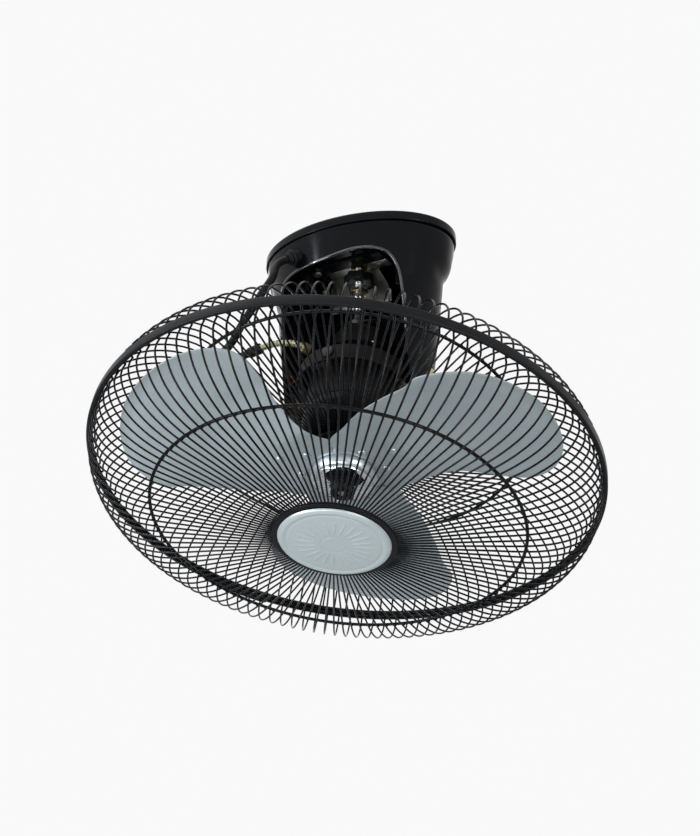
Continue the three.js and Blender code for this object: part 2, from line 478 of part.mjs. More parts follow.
// a worm: a turned root with a raised thread ramp, built as one twisted stack
function worm(r, root, z0, z1, pitch, sides = 6, perTurn = 5) {
  const turns = (z1 - z0) / pitch, n = Math.max(4, Math.round(turns * perTurn));
  const pos = [], idx = [];
  for (let k = 0; k <= n; k++) {
    const z = z0 + ((z1 - z0) * k) / n, ph = (TAU * (z - z0)) / pitch;
    for (let i = 0; i < sides; i++) {
      const t = (TAU * i) / sides, c = Math.cos(t - ph);
      const rr = root + (r - root) * Math.max(0, c) ** 1.5;
      pos.push(rr * Math.cos(t), rr * Math.sin(t), z);
    }
  }
  const a = pos.length / 3;
  pos.push(0, 0, z0, 0, 0, z1);
  for (let k = 0; k < n; k++) {
    for (let i = 0; i < sides; i++) {
      const p = k * sides + i, q = k * sides + ((i + 1) % sides);
      idx.push(p, q, p + sides, q, q + sides, p + sides);
    }
  }
  for (let i = 0; i < sides; i++) {
    idx.push(a, (i + 1) % sides, i);
    idx.push(a + 1, n * sides + i, n * sides + ((i + 1) % sides));
  }
  const g = new THREE.BufferGeometry();
  g.setAttribute('position', new THREE.BufferAttribute(new Float32Array(pos), 3));
  g.setIndex(idx);
  return g;
}
piece('motor_shaft', join(
  solid(turned([[0, SHAFT_TIP], [SHAFT_R - 0.6, SHAFT_TIP], [SHAFT_R, SHAFT_TIP + 1],
    [SHAFT_R, SHAFT_TAIL_FROM], [SHAFT_TAIL_R, SHAFT_TAIL_FROM], [SHAFT_TAIL_R, WORM_LOW + 1],
    [0, WORM_LOW + 1]], 12)),
  solid(worm(WORM_R, WORM_R - 1.4, WORM_LOW, WORM_TOP, WORM_PITCH))), STEEL, headFrame);

// ---------------------------------------------------------------- gear train
function gearLine(teeth, tip, root, land = 0.22, foot = 0.36) {
  const p = [];
  for (let i = 0; i < teeth; i++) {
    const t = (TAU * i) / teeth, h = TAU / teeth;
    for (const [k, r] of [[-foot, root], [-land / 2, tip], [land / 2, tip], [foot, root]]) {
      p.push([r * Math.cos(t + k * h), r * Math.sin(t + k * h)]);
    }
  }
  return p;
}
const WHEEL1_R = CROSS_Y - WORM_R - GAP;
const WHEEL2_R = CROSS_Y - WORM2_R - GAP;
const LAY_X = (MODULE * (PINION_TEETH + OUT_TEETH)) / 2;
const crossBearing = Math.sqrt(GEARBOX_CAVITY ** 2 - CROSS_Y ** 2) + 1.4;
const cross = join(
  solid(alongX(rod(CROSS_R, -crossBearing, crossBearing, 8))),
  solid(alongX(extruded(gearLine(WHEEL1_TEETH, WHEEL1_R, WHEEL1_R - 1.5), 5)
    .translate(0, 0, -2.5))),
  solid(alongX(worm(WORM2_R, WORM2_R - 1.2, LAY_X - 6, LAY_X + 6.5, 3.2)))
).translate([0, CROSS_Y, GEAR_Z]);
piece('cross_gear', cross, BRASS, headFrame);
const layFloor = REAR_TOP + GAP + 2;
const COVER_LOW = GEARBOX_TOP + GAP;
const PINION_PR = (MODULE * PINION_TEETH) / 2, OUT_PR = (MODULE * OUT_TEETH) / 2;
const layTop = COVER_LOW + 1.3;
const outMid = OUT_GEAR_LOW + OUT_GEAR_H / 2;
const lay = join(
  solid(rod(CROSS_R, layFloor + GAP, layTop, 8)),
  solid(extruded(gearLine(WHEEL2_TEETH, WHEEL2_R, WHEEL2_R - 1.5), 4).translate(0, 0, GEAR_Z - 2)),
  solid(extruded(gearLine(PINION_TEETH, PINION_PR + 0.8, PINION_PR - 1.25, 0.18, 0.3), 2.6)
    .rotateZ(Math.PI).translate(0, 0, outMid - 1.3))
).translate([LAY_X, 0, 0]);
piece('lay_gear', lay, BRASS, headFrame);

// the crank points at the canopy's centre line, which the head sees leaning
const centreLine = new THREE.Vector3(0, 0, 1)
  .applyQuaternion(headFrame.getWorldQuaternion(new THREE.Quaternion()).invert());
const crankTo = Math.atan2(centreLine.y, centreLine.x);
const crankArm = ((CRANK_PIN_TOP - CRANK_BALL_H / 2) * Math.hypot(centreLine.x, centreLine.y))
  / centreLine.z;
const crankLow = COVER_LOW + COVER_T + CRANK_LIFT;
const arm = circle(CRANK_W / 2, 12).map(([x, y]) => (x < 0 ? [x, y] : [x + crankArm, y]));
const outGear = solid(extruded(gearLine(OUT_TEETH, OUT_PR + 0.8, OUT_PR - 1.25, 0.18, 0.3),
  OUT_GEAR_H).rotateZ(TAU / OUT_TEETH / 2 - crankTo).translate(0, 0, OUT_GEAR_LOW));
const crankBall = CRANK_PIN_TOP - CRANK_BALL_H;
const crank = join(outGear, solid(rod(OUT_R, OUT_GEAR_LOW + 0.4, crankLow + 1, 12)),
  solid(extruded(arm, CRANK_T).translate(0, 0, crankLow)),
  solid(turned([[0, crankLow + 1], [CRANK_PIN_R, crankLow + 1], [CRANK_PIN_R, crankBall],
    [CRANK_BALL_R, crankBall + 2], [CRANK_BALL_R, CRANK_PIN_TOP - 2.2],
    [CRANK_PIN_R, CRANK_PIN_TOP - 0.4], [0, CRANK_PIN_TOP]], 12).translate(crankArm, 0, 0)));
const crankMesh = piece('orbit_crank', crank, STEEL, headFrame);
crankMesh.rotation.z = crankTo;

const boxWall = cut(
  solid(rod(GEARBOX_R, REAR_TOP + GAP, GEARBOX_TOP, 28)),
  solid(rod(GEARBOX_CAVITY, layFloor, GEARBOX_TOP + 1, 20)),
  solid(rod(SHAFT_R + 2, REAR_TOP - 2, layFloor + 1, 12)),
  solid(alongX(rod(CROSS_R + GAP, -crossBearing - 0.5, crossBearing + 0.5, 12))
    .translate(0, CROSS_Y, GEAR_Z)));
piece('gearbox_housing', boxWall, GREY_CAST, headFrame);
piece('gearbox_cover', cut(
  solid(turned([[0, COVER_LOW], [GEARBOX_R, COVER_LOW], [GEARBOX_R, COVER_LOW + COVER_T - 1],
    [GEARBOX_R - 2, COVER_LOW + COVER_T], [0, COVER_LOW + COVER_T]], 28)),
  solid(rod(OUT_R + GAP, COVER_LOW - 1, COVER_LOW + COVER_T + 1, 12)),
  solid(rod(CROSS_R + GAP, COVER_LOW - 1, layTop + GAP, 12).translate(LAY_X, 0, 0))),
BLACK_SATIN, headFrame);

// ---------------------------------------------------------------- cord inlet
const tip = new THREE.Vector3(...INLET_PATH.at(-1));
const tipDir = tip.clone().sub(new THREE.Vector3(...INLET_PATH.at(-2))).normalize();
const inletTube = solid(along(INLET_PATH, INLET_R, 8, 8));
const inletBore = solid(along([
  new THREE.Vector3(...INLET_PATH[0]).addScaledVector(inletDir, -3).toArray(),
  ...INLET_PATH.slice(1, -1),
  tip.clone().addScaledVector(tipDir, 3).toArray()],
INLET_R - INLET_WALL, 8, 8));
piece('inlet_tube', cut(inletTube, inletBore), YELLOW_ZINC, headFrame);
const nutHex = cut(solid(extruded(circle(INLET_NUT_R, 6), INLET_NUT_H)),
  solid(rod(INLET_R + GAP + 0.35, -1, INLET_NUT_H + 1, 10)));
piece('inlet_nut', solid(aimed(geometry(nutHex), INLET_PATH[0], inletDir.toArray())), BRASS,
  headFrame);
const sleeve = turned([[INLET_R + GAP + 0.2, -SLEEVE_LEN * 0.6], [SLEEVE_R, -SLEEVE_LEN * 0.6],
  [SLEEVE_R, SLEEVE_LEN * 0.25], [CORD_R + 0.6, SLEEVE_LEN * 0.4],
  [INLET_R - INLET_WALL, SLEEVE_LEN * 0.4], [INLET_R - INLET_WALL, GAP],
  [INLET_R + GAP + 0.2, GAP]], 12, true);
piece('cord_sleeve', aimed(sleeve, tip.toArray(), tipDir.toArray()), RUBBER, headFrame);

// ---------------------------------------------------------------- hub, blades, rivets
const bladeTurn = (k) => rad(BLADE_PHASE) + (TAU * k) / BLADES;
const rivetHoles = (r, z0, z1) => {
  const h = [];
  for (let k = 0; k < BLADES; k++) {
    for (const [rr, az] of RIVETS) {
      h.push(solid(rod(r, z0, z1, 8).translate(rr, 0, 0).rotateZ(bladeTurn(k) + rad(az))));
    }
  }
  return h;
};
const hubSeat = SPIDER_Z - SPIDER_T;
const spiderLine = Array.from({ length: 72 }, (_, i) => {
  const t = (360 * i) / 72, step = 360 / BLADES;
  const d = (((t - BLADE_PHASE - ARM_AT + step / 2) % step) + step) % step - step / 2;
  const r = SPIDER_R + SPIDER_ARM / (1 + Math.exp((Math.abs(d) - ARM_HALF) / 3.2));
  return [r * Math.cos(rad(t)), r * Math.sin(rad(t))];
});
piece('blade_spider', cut(join(
  solid(extruded(spiderLine, SPIDER_T, [circle(14, 24)]).translate(0, 0, hubSeat)),
  solid(turned([[SHAFT_R + GAP, SPIDER_Z + 3], [14, SPIDER_Z + 3], [16, SPIDER_Z - 0.2],
    [HUB_R - 1, SPIDER_Z - 0.2], [HUB_R, hubSeat], [HUB_R, HUB_FRONT + 6.6],
    [HUB_R - 1, HUB_FRONT + 3], [HUB_R - 3.6, HUB_FRONT], [SHAFT_R + GAP, HUB_FRONT]], 24, true))),
...rivetHoles(RIVET_R + GAP, hubSeat - 1, SPIDER_Z + 1)), ALU, headFrame);

const ROOT_Z = hubSeat - GAP - BLADE_T / 2;
function bladeGeometry() {
  const cols = BLADE_COLS, rows = BLADE_ROWS.length, pos = [], idx = [];
  for (const side of [1, -1]) {
    for (const [r, t1, t0, z1, z0] of BLADE_ROWS) {   // trailing, leading
      for (let j = 0; j < cols; j++) {
        const u = j / (cols - 1), a = rad(t0 + (t1 - t0) * u);
        const camber = BLADE_CAMBER * Math.sin(Math.PI * u)
          * Math.min(1, Math.max(0, (r - BLADE_FLAT) / 60));
        pos.push(r * Math.cos(a), r * Math.sin(a),
          ROOT_Z + z0 + (z1 - z0) * u + camber + (side * BLADE_T) / 2);
      }
    }
  }
  const at = (s, i, j) => s * rows * cols + i * cols + j;
  for (let i = 0; i + 1 < rows; i++) {
    for (let j = 0; j + 1 < cols; j++) {
      idx.push(at(0, i, j), at(0, i + 1, j), at(0, i + 1, j + 1));
      idx.push(at(0, i, j), at(0, i + 1, j + 1), at(0, i, j + 1));
      idx.push(at(1, i, j), at(1, i + 1, j + 1), at(1, i + 1, j));
      idx.push(at(1, i, j), at(1, i, j + 1), at(1, i + 1, j + 1));
    }
  }
  const edge = (a, b, c, d) => idx.push(a, b, c, b, d, c);
  for (let i = 0; i + 1 < rows; i++) {
    edge(at(0, i, 0), at(1, i, 0), at(0, i + 1, 0), at(1, i + 1, 0));
    edge(at(0, i + 1, cols - 1), at(1, i + 1, cols - 1), at(0, i, cols - 1), at(1, i, cols - 1));
  }
  for (let j = 0; j + 1 < cols; j++) {
    edge(at(0, 0, j + 1), at(1, 0, j + 1), at(0, 0, j), at(1, 0, j));
    edge(at(0, rows - 1, j), at(1, rows - 1, j), at(0, rows - 1, j + 1), at(1, rows - 1, j + 1));
  }
  const g = new THREE.BufferGeometry();
  g.setAttribute('position', new THREE.BufferAttribute(new Float32Array(pos), 3));
  g.setIndex(idx);
  return g;
}
const bladeFace = ROOT_Z - BLADE_T / 2;
const blade = cut(solid(bladeGeometry()), ...RIVETS.map(([r, az]) => solid(
  rod(RIVET_R + GAP, bladeFace - 4, bladeFace + 5, 8).translate(r, 0, 0).rotateZ(rad(az)))));
for (let k = 0; k < BLADES; k++) {
  piece(`blade_${k + 1}`, geometry(blade).rotateZ(bladeTurn(k)), ALU, headFrame);
  RIVETS.forEach(([r, az], i) => {
    const rivet = turned([[0, SPIDER_Z + GAP + 1.4], [RIVET_HEAD_R, SPIDER_Z + GAP],
      [RIVET_R, SPIDER_Z + GAP], [RIVET_R, bladeFace - GAP], [RIVET_HEAD_R, bladeFace - GAP],
      [0, bladeFace - GAP - 1.6]], 8).translate(r, 0, 0).rotateZ(bladeTurn(k) + rad(az));
    piece(`rivet_${k + 1}${'ab'[i]}`, rivet, CHROME, headFrame);
  });
}
piece('hub_cap', turned([[SHAFT_R + GAP, HUB_FRONT - GAP], [HUB_R - 4.3, HUB_FRONT - GAP],
  [HUB_R * 0.7, HUB_FRONT - 4.6], [HUB_KNOB_R + 1.1, CAP_FRONT],
  [SHAFT_R + GAP, CAP_FRONT]], 24, true), CHROME, headFrame);
const flutes = [];
for (let i = 0; i < 24; i++) {
  const t = (TAU * i) / 24, r = HUB_KNOB_R - (i % 3 === 0 ? 0.9 : 0);
  flutes.push([r * Math.cos(t), r * Math.sin(t)]);
}
const hubKnobTop = CAP_FRONT - GAP;
piece('hub_knob', cut(solid(extruded(flutes, HUB_KNOB_H).translate(0, 0, hubKnobTop - HUB_KNOB_H)),
  solid(rod(SHAFT_R + GAP, hubKnobTop - 8, hubKnobTop + 1, 10))), BLACK_MATT, headFrame);

// ---------------------------------------------------------------- guards
// A guard is a flat ring with a three-sided wire growing from each sector of its edge. The
// path is [r, height], heights count from the rim plane to the outside of the cage.
function wireCage(ring, z, t, path) {
  const n = WIRES, pos = [], idx = [];
  const put = (r, a, zz) => (pos.push(r * Math.cos(a), r * Math.sin(a), zz), pos.length / 3 - 1);
  const inner = [[], []], outer = [[], []];
  for (let i = 0; i < n; i++) {
    const a = (TAU * (i - 0.5)) / n;
    [z + t / 2, z - t / 2].forEach((zz, k) => {
      inner[k].push(put(ring[0], a, zz));
      outer[k].push(put(ring[1], a, zz));
    });
  }
  const quad = (a, b, c, d) => idx.push(a, b, c, a, c, d);
  for (let i = 0; i < n; i++) {
    const j = (i + 1) % n;
    quad(inner[0][i], outer[0][i], outer[0][j], inner[0][j]);
    quad(inner[1][i], inner[1][j], outer[1][j], outer[1][i]);
    quad(inner[0][i], inner[0][j], inner[1][j], inner[1][i]);
    const a = (TAU * i) / n;
    const TL = outer[0][i], TR = outer[0][j], BL = outer[1][i], BR = outer[1][j];
    let prev = null;       // the last station: two corners outside, one on the blade side
    path.forEach(([r, zz], k) => {
      const p = path[k - 1] || [ring[1], z], q = path[k + 1] || path[k];
      const dr = q[0] - p[0], dz = q[1] - p[1], l = Math.hypot(dr, dz);
      const nr = -dz / l, nz = dr / l, half = (WIRE_R * 1.15) / r, h = WIRE_R * 0.9;
      const L = put(r + nr * h * 0.6, a - half, zz + nz * h * 0.6);
      const R = put(r + nr * h * 0.6, a + half, zz + nz * h * 0.6);
      const B = put(r - nr * h * 1.1, a, zz - nz * h * 1.1);
      if (!prev) {
        idx.push(TL, L, TR, L, R, TR, TR, R, B, TR, B, BR, TL, BL, B, TL, B, L, BL, BR, B);
      } else {
        idx.push(prev[0], L, prev[1], L, R, prev[1]);
        idx.push(prev[1], R, prev[2], R, B, prev[2]);
        idx.push(prev[2], B, prev[0], B, L, prev[0]);
      }
      prev = [L, R, B];
    });
    idx.push(prev[0], prev[2], prev[1]);
  }
  const g = new THREE.BufferGeometry();
  g.setAttribute('position', new THREE.BufferAttribute(new Float32Array(pos), 3));
  g.setIndex(idx);
  return g;
}

const rimIn = BAND_R - BAND_T;           // inner face of the band
const rimWireOut = rimIn - 0.4;
const rimWireIn = rimWireOut - RIM_WIRE;
const rimWireTop = BAND_W / 2 - LIP_T - GAP;
const rimWireLow = rimWireTop - RIM_WIRE;
const wireEnd = [rimWireIn - WIRE_R - 0.2, (rimWireTop + rimWireLow) / 2 + 0.6];
// the cage, its mid hoop on the blade side and its rim wire, held together by spot welds
function guard(ring, ringZ, path, hoopR) {
  const hoopTop = path[0][1] - WIRE_R - HOOP_DROP;
  const cage = solid(wireCage(ring, ringZ, RING_PLATE_T, [...path, wireEnd]));
  const hoop = solid(pipe(hoopR - RIM_WIRE / 2, hoopR + RIM_WIRE / 2, hoopTop - RIM_WIRE,
    hoopTop, HOOP_SIDES));
  const rim = solid(pipe(rimWireIn, rimWireOut, rimWireLow, rimWireTop, BAND_SIDES));
  const welds = [];
  for (let i = 0; i < WELDS; i++) {
    const a = (TAU * i) / WELDS;
    welds.push(solid(box(hoopR - 1, hoopR + 1, -0.8, 0.8, hoopTop - 0.6, path[0][1] + 0.2)
      .rotateZ(a)));
    welds.push(solid(box(wireEnd[0] - 0.4, rimWireIn + 0.6, -0.8, 0.8, wireEnd[1],
      wireEnd[1] + 0.7).rotateZ(a)));
  }
  return join(cage, hoop, rim, ...welds);
}
const rearGuard = geometry(guard(REAR_RING, REAR_RING_Z, REAR_WIRE, REAR_HOOP_R));
piece('rear_guard', rearGuard.translate(0, 0, RIM_Z), WIRE_BLACK, headFrame);
const frontGuard = geometry(guard(FRONT_RING, FRONT_RING_Z, FRONT_WIRE, FRONT_HOOP_R));
piece('front_guard', frontGuard.scale(1, 1, -1).translate(0, 0, RIM_Z), WIRE_BLACK, headFrame);

const nutSeat = RIM_Z + REAR_RING_Z - RING_PLATE_T / 2 - GAP;
piece('guard_nut', pipe(REAR_RING[0], GUARD_NUT_R, nutSeat - GUARD_NUT_H, nutSeat, 28),
  BLACK_SATIN, headFrame);

const clampScrewHole = solid(alongX(rod(CLAMP_SCREW_R + GAP, rimIn - 1, BAND_R + 9, 10))
  .rotateZ(rad(CLAMP_AT)));
const h = BAND_W / 2;
const lip = BAND_R - BAND_LIP;
const band = cut(solid(turned([[BAND_R, -h], [BAND_R, h], [lip, h], [lip, h - LIP_T],
  [rimIn, h - LIP_T], [rimIn, LIP_T - h], [lip, LIP_T - h], [lip, -h]], BAND_SIDES, true)),
clampScrewHole);
piece('guard_band', geometry(band).translate(0, 0, RIM_Z), BLACK_SATIN, headFrame);
const clampLine = [];
const clampIn = BAND_R + GAP, clampOut = clampIn + CLAMP_T;
for (let k = 0; k <= 4; k++) {
  const t = rad(CLAMP_AT + CLAMP_SPAN * (k / 4 - 0.5));
  clampLine.push([clampIn * Math.cos(t), clampIn * Math.sin(t)]);
}
for (let k = 4; k >= 0; k--) {
  const t = rad(CLAMP_AT + CLAMP_SPAN * (k / 4 - 0.5));
  clampLine.push([clampOut * Math.cos(t), clampOut * Math.sin(t)]);
}
piece('band_clamp', geometry(cut(solid(extruded(clampLine, CLAMP_W)
  .translate(0, 0, -CLAMP_W / 2)), clampScrewHole)).translate(0, 0, RIM_Z), BLACK_SATIN,
headFrame);
piece('band_clamp_screw', alongX(turned([[0, rimIn + 0.2], [CLAMP_SCREW_R, rimIn + 0.2],
  [CLAMP_SCREW_R, clampOut + GAP], [3.6, clampOut + GAP], [3.2, clampOut + 1.9],
  [0, clampOut + 2.3]], 12)).rotateZ(rad(CLAMP_AT)).translate(0, 0, RIM_Z), STEEL, headFrame);

// ---------------------------------------------------------------- badge
const badgeBack = FRONT_RING_Z + RING_PLATE_T / 2 + GAP;
piece('badge', turned([[0, badgeBack], [BADGE_R - 1.2, badgeBack], [BADGE_R, badgeBack + 0.8],
  [BADGE_R - 1, badgeBack + BADGE_T], [BADGE_R * 0.6, badgeBack + BADGE_T + BADGE_CROWN * 0.7],
  [0, badgeBack + BADGE_T + BADGE_CROWN]], 36).scale(1, 1, -1).translate(0, 0, RIM_Z),
BADGE_GREY, headFrame);
const retTop = FRONT_RING_Z - RING_PLATE_T / 2 - GAP;
piece('badge_retainer', turned([[0, retTop - RETAINER_T], [FRONT_RING[0] + 2.6,
  retTop - RETAINER_T], [FRONT_RING[0] + 2.6, retTop], [RETAINER_BOSS_R, retTop],
[RETAINER_BOSS_R, badgeBack - GAP], [0, badgeBack - GAP]], 24).scale(1, 1, -1)
  .translate(0, 0, RIM_Z), BLACK_MATT, headFrame);

export default fan;
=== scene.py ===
"""Looks of the orbital ceiling fan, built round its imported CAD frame.

Lengths are in millimetres while a shape is made, and in metres once it is a mesh.
The row frame has its origin in the ceiling face, +Z up. The motor head has a frame of
its own at the crossing of the two tilt axes, with the fan's axis along Z.
"""

import json
import math
import bpy
import bmesh
import numpy as np
from mathutils import Matrix, Vector

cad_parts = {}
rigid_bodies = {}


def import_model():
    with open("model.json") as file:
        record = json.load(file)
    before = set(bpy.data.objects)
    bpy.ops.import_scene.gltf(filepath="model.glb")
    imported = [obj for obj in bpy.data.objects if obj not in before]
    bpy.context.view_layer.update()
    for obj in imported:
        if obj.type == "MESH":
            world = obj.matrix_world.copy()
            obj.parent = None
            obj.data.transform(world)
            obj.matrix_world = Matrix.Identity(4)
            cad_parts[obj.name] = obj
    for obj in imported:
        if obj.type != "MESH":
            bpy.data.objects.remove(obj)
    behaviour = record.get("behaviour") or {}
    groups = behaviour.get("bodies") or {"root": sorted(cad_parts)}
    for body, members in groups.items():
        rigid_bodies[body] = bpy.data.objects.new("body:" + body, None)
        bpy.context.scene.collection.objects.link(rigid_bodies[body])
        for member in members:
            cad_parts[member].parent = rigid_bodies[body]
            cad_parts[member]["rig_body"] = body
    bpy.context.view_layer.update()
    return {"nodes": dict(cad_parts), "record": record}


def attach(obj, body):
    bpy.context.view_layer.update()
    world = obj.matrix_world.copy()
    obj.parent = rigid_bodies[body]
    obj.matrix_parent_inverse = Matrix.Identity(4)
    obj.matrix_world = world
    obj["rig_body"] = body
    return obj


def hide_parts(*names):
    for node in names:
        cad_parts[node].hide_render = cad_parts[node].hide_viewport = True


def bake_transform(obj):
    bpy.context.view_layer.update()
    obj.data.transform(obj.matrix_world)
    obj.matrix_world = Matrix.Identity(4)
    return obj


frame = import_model()

MM = 0.001
TAU = 2 * math.pi
BODY_OF = {n: b for b, ns in frame["record"]["behaviour"]["bodies"].items() for n in ns}
SLOT_OF = {p["node"]: p["material_slot"] for p in frame["record"]["subparts"]}
scene = bpy.context.scene

# ------------------------------------------------------------------ frames
PIVOT_DROP = 152
ROW = np.eye(4)
RING = np.array(Matrix.Translation((0, 0, -PIVOT_DROP))
                @ Matrix.Rotation(math.radians(-17.2), 4, "X"))
HEAD = RING @ np.array(Matrix.Rotation(math.radians(-2.6), 4, "Y"))


def moved(points, at):
    return np.asarray(points, float) @ at[:3, :3].T + at[:3, 3]


def aim(at, direction, up=(0, 0, 1)):
    """A frame at a point whose Z runs along a direction."""
    z = np.array(direction, float) / np.linalg.norm(direction)
    x = np.cross(up, z)
    if np.linalg.norm(x) < 1e-6:
        x = np.array([1.0, 0, 0])
    x = x / np.linalg.norm(x)
    m = np.eye(4)
    m[:3, 0], m[:3, 1], m[:3, 2], m[:3, 3] = x, np.cross(z, x), z, at
    return m


def turn(degrees, at=None):
    """A turn about Z, inside the frame at."""
    m = np.array(Matrix.Rotation(math.radians(degrees), 4, "Z"))
    return m if at is None else at @ m


# ------------------------------------------------------------------ camera, first of all
IMAGE_LONG = 836
FOCAL_PX = 1283.64
camera_data = bpy.data.cameras.new("camera")
camera_data.sensor_width = 36
camera_data.lens = FOCAL_PX * camera_data.sensor_width / IMAGE_LONG
camera_data.clip_start, camera_data.clip_end = 0.05, 50
camera = bpy.data.objects.new("camera", camera_data)
scene.collection.objects.link(camera)
look = Vector((-0.46154, 0.79911, 0.38523)).normalized()
rise = Vector((0.17893, -0.34146, 0.92270)).normalized()
side = look.cross(rise).normalized()
rise = side.cross(look)
camera.matrix_world = Matrix((
    (side.x, rise.x, -look.x, 0.548936),
    (side.y, rise.y, -look.y, -0.963899),
    (side.z, rise.z, -look.z, -0.642434),
    (0, 0, 0, 1)))
scene.camera = camera


# ------------------------------------------------------------------ materials
def link(tree, a, a_out, b, b_in):
    tree.links.new(a.outputs[a_out], b.inputs[b_in])


def finish(name, colour, rough, metallic=0.0, coat=0.0, coat_rough=0.06, specular=0.5,
           mottle=0.1, mottle_size=18, rough_spread=0.06, rough_size=30, bump=0.05,
           bump_size=1.2, stretch=(1, 1, 1), specks=0.0):
    """A painted, moulded or metal finish: colour mottled over mottle_size mm, roughness
    over rough_size mm, and a fine surface grain of bump_size mm."""
    m = bpy.data.materials.new(name)
    m.use_nodes = True
    t = m.node_tree
    b = t.nodes["Principled BSDF"]
    b.inputs["Metallic"].default_value = metallic
    b.inputs["Coat Weight"].default_value = coat
    b.inputs["Coat Roughness"].default_value = coat_rough
    b.inputs["Specular IOR Level"].default_value = specular
    where = t.nodes.new("ShaderNodeTexCoord")
    place = t.nodes.new("ShaderNodeMapping")
    place.inputs["Scale"].default_value = stretch
    link(t, where, "Object", place, "Vector")

    def noise(size, detail, seed):
        n = t.nodes.new("ShaderNodeTexNoise")
        n.inputs["Scale"].default_value = 1000 / size
        n.inputs["Detail"].default_value = detail
        n.inputs["Roughness"].default_value = 0.55
        shift = t.nodes.new("ShaderNodeVectorMath")
        shift.operation = "ADD"
        shift.inputs[1].default_value = (seed, seed * 0.7, seed * 0.3)
        link(t, place, "Vector", shift, 0)
        link(t, shift, "Vector", n, "Vector")
        return n

    tint = t.nodes.new("ShaderNodeValToRGB")
    ends = tint.color_ramp.elements
    ends[0].position, ends[1].position = 0.3, 0.7
    ends[0].color = [c * (1 - mottle) for c in colour] + [1]
    ends[1].color = [min(1, c * (1 + mottle)) for c in colour] + [1]
    link(t, noise(mottle_size, 4, 1.7), "Fac", tint, "Fac")
    if specks:
        dots = t.nodes.new("ShaderNodeValToRGB")
        dots.color_ramp.elements[0].position = 0.62
        dots.color_ramp.elements[1].position = 0.72
        link(t, noise(2.2, 2, 9.1), "Fac", dots, "Fac")
        mix = t.nodes.new("ShaderNodeMix")
        mix.data_type = "RGBA"
        mix.inputs["B"].default_value = [min(1, c * (1 + specks)) for c in colour] + [1]
        t.links.new(dots.outputs["Color"], mix.inputs["Factor"])
        t.links.new(tint.outputs["Color"], mix.inputs["A"])
        t.links.new(mix.outputs["Result"], b.inputs["Base Color"])
    else:
        link(t, tint, "Color", b, "Base Color")
    gloss = t.nodes.new("ShaderNodeMapRange")
    gloss.inputs["From Min"].default_value = 0.3
    gloss.inputs["From Max"].default_value = 0.7
    gloss.inputs["To Min"].default_value = max(0.02, rough - rough_spread)
    gloss.inputs["To Max"].default_value = min(1, rough + rough_spread)
    link(t, noise(rough_size, 5, 4.3), "Fac", gloss, "Value")
    link(t, gloss, "Result", b, "Roughness")
    grain = t.nodes.new("ShaderNodeBump")
    grain.inputs["Strength"].default_value = bump
    grain.inputs["Distance"].default_value = 0.0004
    link(t, noise(bump_size, 3, 6.6), "Fac", grain, "Height")
    link(t, grain, "Normal", b, "Normal")
    return m


